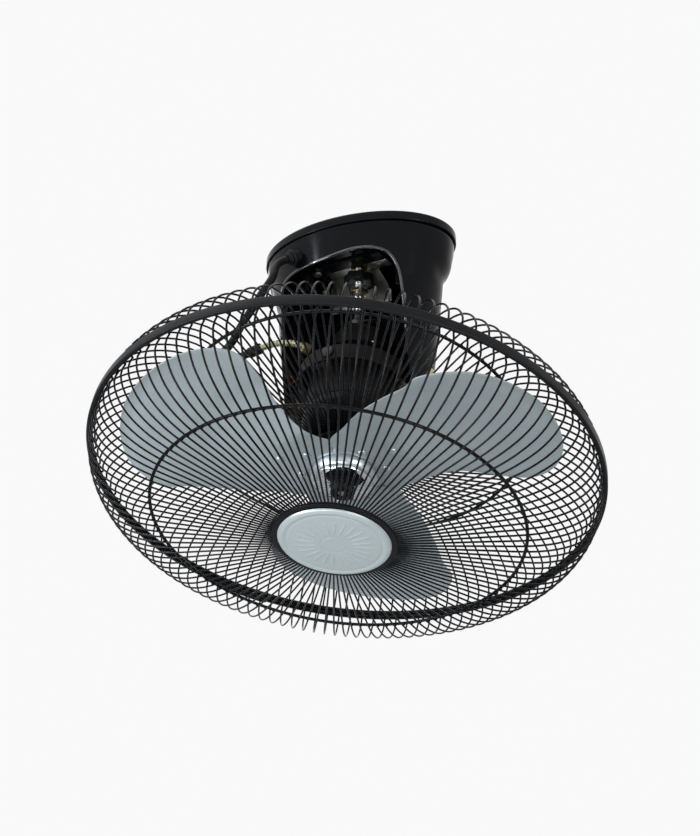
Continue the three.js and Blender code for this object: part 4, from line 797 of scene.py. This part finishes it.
# ------------------------------------------------------------------ leg pivots
RING_RI, RING_RO, RING_H = 55.5, 58.5, 17
for side_name, s in (("right", 1), ("left", -1)):
    at = aim((0, 0, -PIVOT_DROP), (s, 0, 0))
    top = leg_out + 4.1
    pin = lathe([(0, RING_RI + GAP), (3.6, RING_RI + GAP, 0.3), (4, RING_RI + 1.2),
                 (4, leg_out + 0.1), (7, leg_out + 0.1, 0.3), (7, top - 1.6, 1.4),
                 (4.4, top - 0.2, 2.5), (0, top)], 56)
    pin = build(f"leg_screw_{side_name}_slotted", *placed(pin, at), f"leg_screw_{side_name}")
    carve(pin, [placed(block(-8, 8, -0.8, 0.8, top - 1.9, top + 2, 0.05, 1), turn(35, at))])
    bush = lathe([(4.3, RING_RO + GAP, 0.3), (8, RING_RO + GAP, 0.5), (8, leg_in - 1.5, 0.5),
                  (4.3, leg_in - 1.5, 0.3)], 56, loop=True)
    build(f"leg_bush_{side_name}_turned", *placed(bush, at), f"leg_bush_{side_name}")
at = aim((-72.75, -6, -126), (1, 0, 0))
earth = lathe([(0, 0), (6, 0), (6, 1.2, 0.3), (4.4, 1.5), (4.4, 4.2, 0.8), (3, 5.1, 0.6),
               (0, 5.2)], 40)
earth = build("earth_screw_washer", *placed(earth, at), "earth_screw")
carve(earth, [placed(block(-5, 5, -0.6, 0.6, 3.6, 7, 0.05, 1), turn(20, at))])

# ------------------------------------------------------------------ gimbal ring and its pins
ring = lathe([(RING_RI, -8.5, 0.6), (RING_RO, -8.5, 0.9), (RING_RO, 8.5, 0.9),
              (RING_RI, 8.5, 0.6)], 160, loop=True)
ring = build("gimbal_ring_cast", *ring, "gimbal_ring", at=RING)
carve(ring, [drum(4.4, -64, 64, RING @ aim((0, 0, 0), d), 40) for d in ((1, 0, 0), (0, 1, 0))])
for side_name, s in (("front", -1), ("rear", 1)):
    pin = lathe([(0, 44.2), (4, 44.2), (4, RING_RO + GAP), (6.2, RING_RO + GAP, 0.3),
                 (6.2, RING_RO + 2.4, 1.2), (0, RING_RO + 3)], 48)
    pin = build(f"ring_pin_{side_name}_turned",
                *placed(pin, HEAD @ aim((0, 0, 0), (0, s, 0))), f"ring_pin_{side_name}",
                material=PIN_BLACK)

# ------------------------------------------------------------------ motor
MOTOR_IN = 43.6                  # bore of the motor's shell
shell_m = lathe([(MOTOR_IN, -39), (46.4, -39, 0.4), (47, -38, 0.5), (47, -31, 0.4), (46.5, -30.4),
                 (46.5, -6, 0.3), (47, -5.4, 0.4), (47, 7.4, 0.4), (MOTOR_IN, 7.4)], 160, loop=True)
motor = build("motor_housing_cast", *shell_m, "motor_housing", at=HEAD)
bosses = [placed(lathe([(0, 43.9), (8.2, 43.9), (7.4, 47.6), (7, 49), (7, 54.6, 0.8), (0, 54.6)],
                       56), HEAD @ aim((0, 0, 0), (0, s, 0))) for s in (1, -1)]
carve(motor, bosses, "UNION")
carve(motor, [drum(4.3, 40, 60, HEAD @ aim((0, 0, 0), (0, s, 0)), 40) for s in (1, -1)])

front = lathe([(5.5, -66), (5.5, -82.7), (31.7, -82.7, 1.2), (31.7, -76.5, 0.4),
               (35.0, -76.2, 1.2), (39.6, -67, 6), (44.6, -57, 6), (46.9, -47, 3), (47, -39.3, 0.5),
               (43.6, -39.3), (43.6, -46.6), (41, -56), (35.2, -65), (11.3, -66), (5.6, -66)], 160,
              loop=True)
front = build("motor_front_cover_moulded", *front, "motor_front_cover", at=HEAD)
rear = lathe([(5.5, 33), (5.5, 36), (33.5, 36, 1.0), (38, 32.2, 4), (44.2, 25.5, 5), (46.9, 16, 4),
              (47, 7.7, 0.5), (43.6, 7.7), (43.6, 16), (41.6, 21.6), (36, 24), (11.3, 24),
              (11.3, 33)], 160, loop=True)
rear = build("motor_rear_cover_moulded", *rear, "motor_rear_cover", at=HEAD)
inlet_dir = (INLET_PATH[1] - INLET_PATH[0]) / np.linalg.norm(INLET_PATH[1] - INLET_PATH[0])
inlet_at = HEAD @ aim(INLET_PATH[0], inlet_dir)
carve(rear, [placed(lathe([(0, -9), (7.6, -9), (6.6, -2.4), (6.4, -GAP, 0.5), (0, -GAP)], 48),
                    inlet_at)], "UNION")
carve(rear, [placed(drum(3.7, -16, 4, seg=32), inlet_at)])
for i in range(4):
    a = math.radians(45 + 90 * i)
    at = HEAD @ aim((40.4 * math.cos(a), 40.4 * math.sin(a), 26.2), (math.cos(a) * 0.6,
                    math.sin(a) * 0.6, 0.8))
    build(f"cover_screw_{i + 1}", *placed(lathe(
        [(0, 1.6), (2.6, 1.6, 0.2), (2.6, 3.0, 0.6), (0, 3.6)], 28), at), body="head", slot="steel")

# gearbox
box = lathe([(6, 36.3), (32, 36.3, 0.8), (32, 54.5, 0.4), (28, 54.5), (28, 38.3), (6, 38.3)], 128,
            loop=True)
build("gearbox_housing_cast", *box, "gearbox_housing", at=HEAD)
lid = lathe([(4.3, 54.8, 0.3), (32, 54.8, 0.3), (32, 56.8, 1.0), (24, 57.6, 0.5), (23, 57.0, 0.3),
             (12, 57.0, 0.4), (11, 57.8, 0.4), (4.3, 57.8, 0.3)], 128, loop=True)
build("gearbox_cover_pressed", *lid, "gearbox_cover", at=HEAD)
for i in range(4):
    a = math.radians(30 + 90 * i)
    at = HEAD @ aim((28.4 * math.cos(a), 28.4 * math.sin(a), 57.1), (0, 0, 1))
    head = build(f"gearbox_screw_{i + 1}", *placed(lathe(
        [(0, -0.6), (2.7, -0.6, 0.2), (2.7, 1.0, 0.7), (0, 1.5)], 28), at),
        body="head", slot="steel")
    cross_recess(head, 1.9, 0.4, 0.9, 3, at)

# ------------------------------------------------------------------ cord inlet
inlet_line = spline(INLET_PATH, 180)
ribs = [INLET_R - 0.3 + 0.3 * math.cos(TAU * k / 10) for k in range(len(inlet_line))]
build("inlet_tube_bent", *tube(inlet_line, ribs, 32, bore=INLET_BORE), "inlet_tube", at=HEAD,
      sharp=60)
build("inlet_nut_hex", *hex_nut(5.6, 0, 7, 4.05), "inlet_nut", at=inlet_at)
sleeve = lathe([(3.9, -9, 0.2), (5.2, -9, 0.6), (5.2, 3.75, 0.8), (4.35, 6, 0.4), (2.5, 6),
                (2.5, 0.3), (3.9, 0.3)], 48, loop=True)
run = INLET_PATH[-1] - INLET_PATH[-2]
build("cord_sleeve_moulded", *sleeve, "cord_sleeve", at=HEAD @ aim(INLET_PATH[-1], run))

# ------------------------------------------------------------------ hub, blades, rivets
SPIDER_Z, SPIDER_T, BLADE_T = -95.4, 2.4, 1.2
HUB_SEAT = SPIDER_Z - SPIDER_T
HUB_R, HUB_FRONT, CAP_FRONT = 30.9, -107, -114.2
BLADE_PHASE = 230
ROOT_Z = HUB_SEAT - GAP - BLADE_T / 2
RIVETS = [(60.2, -7.4), (41.5, 13.8), (38.9, -28.4)]


def spider_outline():
    pts = []
    for i in range(240):
        t = 360 * i / 240
        d = ((t - BLADE_PHASE + 6) + 60) % 120 - 60
        arm = 1 / (1 + math.exp((abs(d) - 27) / 3.2))
        r = 40 + 26.5 * arm
        pts.append((r * math.cos(math.radians(t)), r * math.sin(math.radians(t))))
    return pts


plate = prism(spider_outline(), HUB_SEAT, SPIDER_Z, holes=28)
plate = edit(*plate, bevel=0.3, segments=1, angle=50)
boss = lathe([(4.3, SPIDER_Z + 3), (14, SPIDER_Z + 3, 0.5), (16, SPIDER_Z - 0.1),
              (29, SPIDER_Z - 0.1),
              (HUB_R, HUB_SEAT + 0.2), (HUB_R, -100.6, 1), (30.5, -103, 2), (29.2, -105.4, 2),
              (27.4, HUB_FRONT, 1.0), (4.3, HUB_FRONT)], 128, loop=True)
build("blade_spider_pressed", *joined(plate, boss), "blade_spider", at=HEAD, material=HUB_SATIN)
cap = lathe([(4.3, -107.3), (26.6, -107.3, 0.4), (26, -109.0, 1.5), (23.2, -111.1, 5),
             (18, -113.0, 6), (12.2, CAP_FRONT, 1.0), (4.3, CAP_FRONT)], 128, loop=True)
build("hub_cap_dome", *cap, "hub_cap", at=HEAD)
n = 144
rows = []
for dr, z in ((-6.3, -114.5), (-0.6, -114.5), (0, -115.1), (0, -119.1), (-0.5, -120.2),
              (-1.5, -120.7), (-3, -120.8), (-3.4, -120.2), (-5, -120.1), (-6.3, -120.1)):
    row = []
    for i in range(n):
        t = TAU * i / n
        notch = 0.75 * max(0.0, math.cos(12 * t)) ** 6 if dr > -3 else 0
        r = 10.6 + dr - notch
        row.append((r * math.cos(t), r * math.sin(t), z))
    rows.append(row)
hub_knob = ([p for r in rows for p in r],
            [[k * n + i, k * n + (i + 1) % n, ((k + 1) % len(rows)) * n + (i + 1) % n,
              ((k + 1) % len(rows)) * n + i] for k in range(len(rows)) for i in range(n)])
build("hub_knob_fluted", *hub_knob, "hub_knob", at=HEAD)

TRAILING = [(33, 50, 0), (48.7, 53.2, 0), (54.6, 45.3, 0), (63.3, 38.8, 0), (74.8, 33.9, 2.8),
            (84, 32.5, 5.2), (96, 31.6, 8.1), (118, 33.7, 11.1), (135, 35, 11.5), (165, 35, 11),
            (183, 30, 8.8), (195, 22, 5.4), (202.5, 9.5, 1.4), (204.8, -1, -2)]
LEADING = [(33, -62, 0), (48.7, -66.8, 0), (61.6, -56.6, 0), (74, -50.1, -0.3), (94, -43.8, -1.9),
           (112, -39, -4.1), (133, -34.6, -7.4), (152, -32, -11), (165, -31.4, -12.6),
           (184, -25.6, -12.4), (196, -19, -9.8), (202.4, -10.5, -6.2), (204.8, -1, -2)]


def blade():
    """A cambered sheet between its trailing and leading edges, 1.2 mm thick."""
    rows, cols = 72, 26
    t, l = spline(TRAILING, rows), spline(LEADING, rows)
    grid = np.zeros((rows, cols, 3))
    for i in range(rows):
        for j in range(cols):
            u = j / (cols - 1)
            r, a, z = t[i] * (1 - u) + l[i] * u
            if i == rows - 1:
                r -= 0.15
            a = math.radians(a)
            z *= min(1, max(0, (r - 62) / 8))
            camber = 3.2 * math.sin(math.pi * u) * min(1, max(0, (r - 67) / 55))
            camber *= min(1, (rows - 1 - i) / 9)
            grid[i, j] = (r * math.cos(a), r * math.sin(a), ROOT_Z + z + camber)
    du = np.gradient(grid, axis=0)
    dv = np.gradient(grid, axis=1)
    nrm = np.cross(du, dv)
    nrm /= np.maximum(np.linalg.norm(nrm, axis=2), 1e-9)[..., None]
    nrm[-1] = nrm[-2]
    if nrm[rows // 2, cols // 2, 2] < 0:
        nrm = -nrm
    both = np.concatenate([(grid + nrm * BLADE_T / 2).reshape(-1, 3),
                           (grid - nrm * BLADE_T / 2).reshape(-1, 3)])
    n, faces = rows * cols, []
    for i in range(rows - 1):
        for j in range(cols - 1):
            q = [i * cols + j, i * cols + j + 1, (i + 1) * cols + j + 1, (i + 1) * cols + j]
            faces += [q, [n + x for x in q][::-1]]
    rim = ([j for j in range(cols)] + [i * cols + cols - 1 for i in range(1, rows)]
           + [(rows - 1) * cols + j for j in range(cols - 2, -1, -1)]
           + [i * cols for i in range(rows - 2, 0, -1)])
    for a, b in zip(rim, rim[1:] + rim[:1]):
        faces.append([a, n + a, n + b, b])
    return edit(both, faces, bevel=0.3, segments=2, angle=55, weld=0.02)


blade_mesh = blade()
rivet = lathe([(0, SPIDER_Z + 1.7), (1.8, SPIDER_Z + 1.5), (3.4, SPIDER_Z + GAP, 0.2),
               (1.9, SPIDER_Z + GAP), (1.9, ROOT_Z - 0.7), (3.8, ROOT_Z - 0.8, 0.3),
               (3.5, ROOT_Z - 1.7, 1.0), (2.0, ROOT_Z - 2.5, 1.6), (0, ROOT_Z - 2.8)], 36)
for k in range(3):
    at = turn(BLADE_PHASE + 120 * k, HEAD)
    build(f"blade_{k + 1}_twisted", *blade_mesh, f"blade_{k + 1}", at=at, sharp=50)
    for letter, (r, az) in zip("abc", RIVETS):
        a = math.radians(az)
        where = at @ aim((r * math.cos(a), r * math.sin(a), 0), (0, 0, 1))
        if letter == "c":
            build(f"rivet_{k + 1}c_dome", *placed(rivet, where), body="rotor", slot="chrome",
                  material=RIVET_SILVER)
        else:
            build(f"rivet_{k + 1}{letter}_dome", *placed(rivet, where), f"rivet_{k + 1}{letter}",
                  material=RIVET_SILVER)

# ------------------------------------------------------------------ guards
RIM_Z = -106
WIRES, WIRE_R, WIRE_PHASE = 120, 0.88, 2.4
FRONT_LINE = [(51, 63.3), (58, 63), (70, 62), (100, 59.2), (132, 56), (164.5, 52.8), (184, 49),
              (200, 43.2), (212, 36), (221, 26.5), (226.5, 15), (226.6, 7.5), (225.4, 2.5)]
REAR_LINE = [(34.5, 28), (40, 28.9), (60, 34), (100, 44.8), (130, 53), (158.5, 60.2), (176, 58.4),
             (192, 51.6), (207, 41.6), (219, 29.5), (226.5, 16), (227, 8), (225.4, 2.5)]


def wires(line, sign, phase, stations=34, sides=8):
    """Every wire of a guard: the same bent wire turned about the axis."""
    path = spline(line, stations)
    path3 = np.stack([path[:, 0], 0 * path[:, 0], sign * path[:, 1] + RIM_Z], 1)
    v, f = tube(path3, WIRE_R, sides)
    parts = []
    for i in range(WIRES):
        a = math.radians(phase) + TAU * i / WIRES
        c, s = math.cos(a), math.sin(a)
        parts.append((v @ np.array([[c, s, 0], [-s, c, 0], [0, 0, 1]]), f))
    return joined(*parts)


def hoop(r, z, wire, seg=240, sides=10):
    circle = [(r + wire * math.cos(TAU * k / sides), z + wire * math.sin(TAU * k / sides))
              for k in range(sides)]
    return lathe(circle, seg, loop=True)


def nuggets(r, z, size, phase):
    """A small spot weld wherever a wire crosses a hoop."""
    blob = lathe([(0, -size * 0.6), (size * 0.7, -size * 0.45), (size, 0),
                  (size * 0.7, size * 0.45), (0, size * 0.6)], 8)
    parts = []
    for i in range(WIRES):
        a = math.radians(phase) + TAU * i / WIRES
        parts.append(placed(blob, aim((r * math.cos(a), r * math.sin(a), z), (0, 0, 1))))
    return joined(*parts)


def guard(name, node, sign, line, ring_in, ring_out, ring_z, hoop_r, hoop_h, phase):
    def z(h):
        return sign * h + RIM_Z
    parts = [wires(line, sign, phase),
             lathe([(ring_in, z(ring_z - 1.3), 0.5), (ring_out, z(ring_z - 1.3), 0.5),
                    (ring_out, z(ring_z + 1.3), 0.5), (ring_in, z(ring_z + 1.3), 0.5)], 160,
                   loop=True),
             hoop(hoop_r, z(hoop_h), 1.5), hoop(228.1, z(1.85), 1.5),
             nuggets(hoop_r, z(hoop_h + 1.5), 1.5, phase), nuggets(226.2, z(2.1), 1.3, phase)]
    return build(name, *joined(*parts), node, at=HEAD, sharp=60)


guard("rear_guard_wires", "rear_guard", 1, REAR_LINE, 32, 36.5, 27.9, 158.5, 57.2, 0.9)
guard("front_guard_wires", "front_guard", -1, FRONT_LINE, 43.5, 55, 63.2, 164.5, 49.6,
      WIRE_PHASE)
lug = []
for i in range(36):
    lug.append(placed(block(39.0, 40.9, -0.9, 0.9, -82.4, -79.9, 0.4, 2), turn(10 * i)))
nut = joined(lathe([(32.2, -82.9, 0.5), (40, -82.9, 0.6), (40, -79.7, 0.6),
                    (32.2, -79.7, 0.5)], 128, loop=True), *lug)
build("guard_nut_knurled", *nut, "guard_nut", at=HEAD)

band = lathe([(228.3, -4.6, 0.35), (231.5, -4.6, 1.1), (231.5, 4.6, 1.1), (228.3, 4.6, 0.35),
              (228.3, 3.65, 0.3), (230, 3.65, 0.4), (230, -3.65, 0.4), (228.3, -3.65, 0.3)], 320,
             loop=True)
CLAMP_AT, CLAMP_SPAN = 147, 17
band = build("guard_band_rolled", *placed(band, aim((0, 0, RIM_Z), (0, 0, 1))), "guard_band",
             at=HEAD)
screw_at = turn(CLAMP_AT, HEAD) @ aim((0, 0, RIM_Z), (1, 0, 0))
carve(band, [drum(2.1, 226, 236, screw_at)])


def strap(r0, r1, half_w, span, lift):
    """A curved strap over the band, with its two ends rolled away."""
    n, verts, faces = 40, [], []
    for k in range(n + 1):
        a = math.radians(CLAMP_AT + span * (k / n - 0.5))
        w = half_w - 0.9 * max(0, abs(2 * k / n - 1) - 0.85) / 0.15
        for r in (r0, r1):
            for z in (-w, w):
                verts.append((r * math.cos(a), r * math.sin(a), RIM_Z + z))
    for k in range(n):
        b = 4 * k
        faces += [[b, b + 4, b + 5, b + 1], [b + 2, b + 3, b + 7, b + 6],
                  [b, b + 2, b + 6, b + 4], [b + 1, b + 5, b + 7, b + 3]]
    faces += [[0, 1, 3, 2], [4 * n, 4 * n + 2, 4 * n + 3, 4 * n + 1]]
    return edit(verts, faces, bevel=lift, segments=3, angle=50)


clip = build("band_clamp_strap", *strap(231.8, 233.2, 5.25, CLAMP_SPAN, 0.5), "band_clamp", at=HEAD)
carve(clip, [drum(2.1, 226, 236, screw_at)])
clamp_screw = lathe([(0, 230.2), (1.8, 230.2), (1.8, 233.5), (3.6, 233.5, 0.2), (3.5, 234.8, 0.8),
                     (2, 235.6, 0.8), (0, 235.8)], 36)
clamp_screw = build("band_clamp_screw_pan", *placed(clamp_screw, screw_at), "band_clamp_screw")
cross_recess(clamp_screw, 2.4, 0.45, 234.9, 237, screw_at)


# ------------------------------------------------------------------ badge
def badge():
    """A domed disc: a rolled rim, a groove inside it, and a plain ring of short rays."""
    rings, seg = 96, 288
    top, back = 64.8 + 2.2, 64.8
    verts, faces = [], []
    for k in range(rings + 1):
        r = 49.8 * (k / rings)
        for i in range(seg):
            t = TAU * i / seg
            x = r / 49.8
            z = top + 1.6 * (1 - x * x) - 0.15
            z += 0.5 * math.exp(-((r - 45.6) / 1.3) ** 2)
            z -= 0.35 * math.exp(-((r - 42.0) / 0.9) ** 2)
            z -= 0.3 * math.exp(-((r - 11.5) / 0.7) ** 2)
            ray = max(0.0, math.cos(24 * t)) ** 3
            z += 0.42 * ray * math.exp(-(((r - 25.5) / 8.5) ** 8))
            if x > 0.96:
                z -= 2.4 * ((x - 0.96) / 0.04) ** 2 * 0.7
            verts.append((r * math.cos(t), r * math.sin(t), -z))
    for k in range(rings):
        for i in range(seg):
            j = (i + 1) % seg
            faces.append([k * seg + i, k * seg + j, (k + 1) * seg + j, (k + 1) * seg + i])
    off = len(verts)
    for r in (48.8, 0.5):
        verts += [(r * math.cos(TAU * i / seg), r * math.sin(TAU * i / seg), -back)
                  for i in range(seg)]
    for i in range(seg):
        j = (i + 1) % seg
        faces.append([rings * seg + i, rings * seg + j, off + j, off + i])
        faces.append([off + i, off + j, off + seg + j, off + seg + i])
    faces.append([off + seg + i for i in range(seg)])
    v, f = edit(verts, faces, weld=0.001)
    return placed((v, f), aim((0, 0, RIM_Z), (0, 0, 1)))


build("badge_embossed", *badge(), "badge", at=HEAD, sharp=60)
keeper = lathe([(0, 59.2), (46.1, 59.2, 0.8), (46.1, 61.6, 0.5), (9, 61.6, 0.6), (9, 64.5, 0.3),
                (0, 64.5)], 96)
keeper = (np.array(keeper[0]) * (1, 1, -1), keeper[1])
build("badge_retainer_moulded", *placed(keeper, aim((0, 0, RIM_Z), (0, 0, 1))), "badge_retainer",
      at=HEAD)

# ------------------------------------------------------------------ stage and light
BACKGROUND = 0.948               # linear grey of the backdrop
floor_mesh = bpy.data.meshes.new("floor")
FLOOR_Z, FLOOR_HALF = -1.5, 9
floor_mesh.from_pydata([(-FLOOR_HALF, -FLOOR_HALF, FLOOR_Z), (FLOOR_HALF, -FLOOR_HALF, FLOOR_Z),
                        (FLOOR_HALF, FLOOR_HALF, FLOOR_Z), (-FLOOR_HALF, FLOOR_HALF, FLOOR_Z)], [],
                       [[0, 1, 2, 3]])
floor = bpy.data.objects.new("floor", floor_mesh)
scene.collection.objects.link(floor)
floor_mesh.materials.append(finish("floor_pale", (0.8, 0.8, 0.8), 0.8, specular=0.2, mottle=0.01,
                                   mottle_size=400, bump=0.0))

world = bpy.data.worlds.new("studio")
scene.world = world
world.use_nodes = True
t = world.node_tree
t.nodes.clear()
out = t.nodes.new("ShaderNodeOutputWorld")
seen = t.nodes.new("ShaderNodeBackground")
seen.inputs["Color"].default_value = (BACKGROUND, BACKGROUND, BACKGROUND, 1)
light = t.nodes.new("ShaderNodeBackground")
light.inputs["Color"].default_value = (0.93, 0.96, 1.0, 1)
light.inputs["Strength"].default_value = 0.42
path = t.nodes.new("ShaderNodeLightPath")
both = t.nodes.new("ShaderNodeMath")
both.operation = "MAXIMUM"
third = t.nodes.new("ShaderNodeMath")
third.operation = "MAXIMUM"
mix = t.nodes.new("ShaderNodeMixShader")
link(t, path, "Is Camera Ray", both, 0)
link(t, path, "Is Glossy Ray", both, 1)
t.links.new(both.outputs[0], third.inputs[0])
t.links.new(path.outputs["Is Transmission Ray"], third.inputs[1])
t.links.new(third.outputs[0], mix.inputs[0])
t.links.new(light.outputs[0], mix.inputs[1])
t.links.new(seen.outputs[0], mix.inputs[2])
t.links.new(mix.outputs[0], out.inputs[0])


def softbox(name, place, aim_at, size, power, tint):
    data = bpy.data.lights.new(name, "AREA")
    data.shape, data.size, data.size_y = "RECTANGLE", size[0], size[1]
    data.energy, data.color = power, tint
    obj = bpy.data.objects.new(name, data)
    scene.collection.objects.link(obj)
    obj.location = place
    obj.rotation_mode = "QUATERNION"
    obj.rotation_quaternion = (Vector(aim_at) - Vector(place)).to_track_quat("-Z", "Y")
    obj.visible_camera = False
    return obj


for name, place, centre_z, size, power, tint in (
        ("key", (-1.1, -1.5, -0.9), -0.2, (0.9, 0.9), 26, (0.96, 0.98, 1.0)),
        ("fill", (1.6, -0.9, -0.9), -0.2, (0.8, 1.2), 14, (1.0, 0.99, 0.97)),
        ("rim", (-0.8, 1.3, 0.5), -0.1, (1.2, 0.6), 3, (1, 1, 1)),
        ("top", (-0.5, -0.5, 1.3), -0.1, (1.2, 1.2), 8, (1, 1, 1)),
        ("strip_left", (-0.85, -1.15, -0.15), -0.22, (0.05, 0.9), 7, (0.82, 0.90, 1.0)),
        ("strip_right", (1.35, -0.75, -0.45), -0.2, (0.05, 0.9), 6, (0.88, 0.94, 1.0)),
        ("strip_low", (-0.1, -1.1, -1.2), -0.05, (1.2, 0.10), 10, (0.92, 0.96, 1.0))):
    softbox(name, place, (0, 0, centre_z), size, power, tint)

scene.view_settings.view_transform = "Standard"
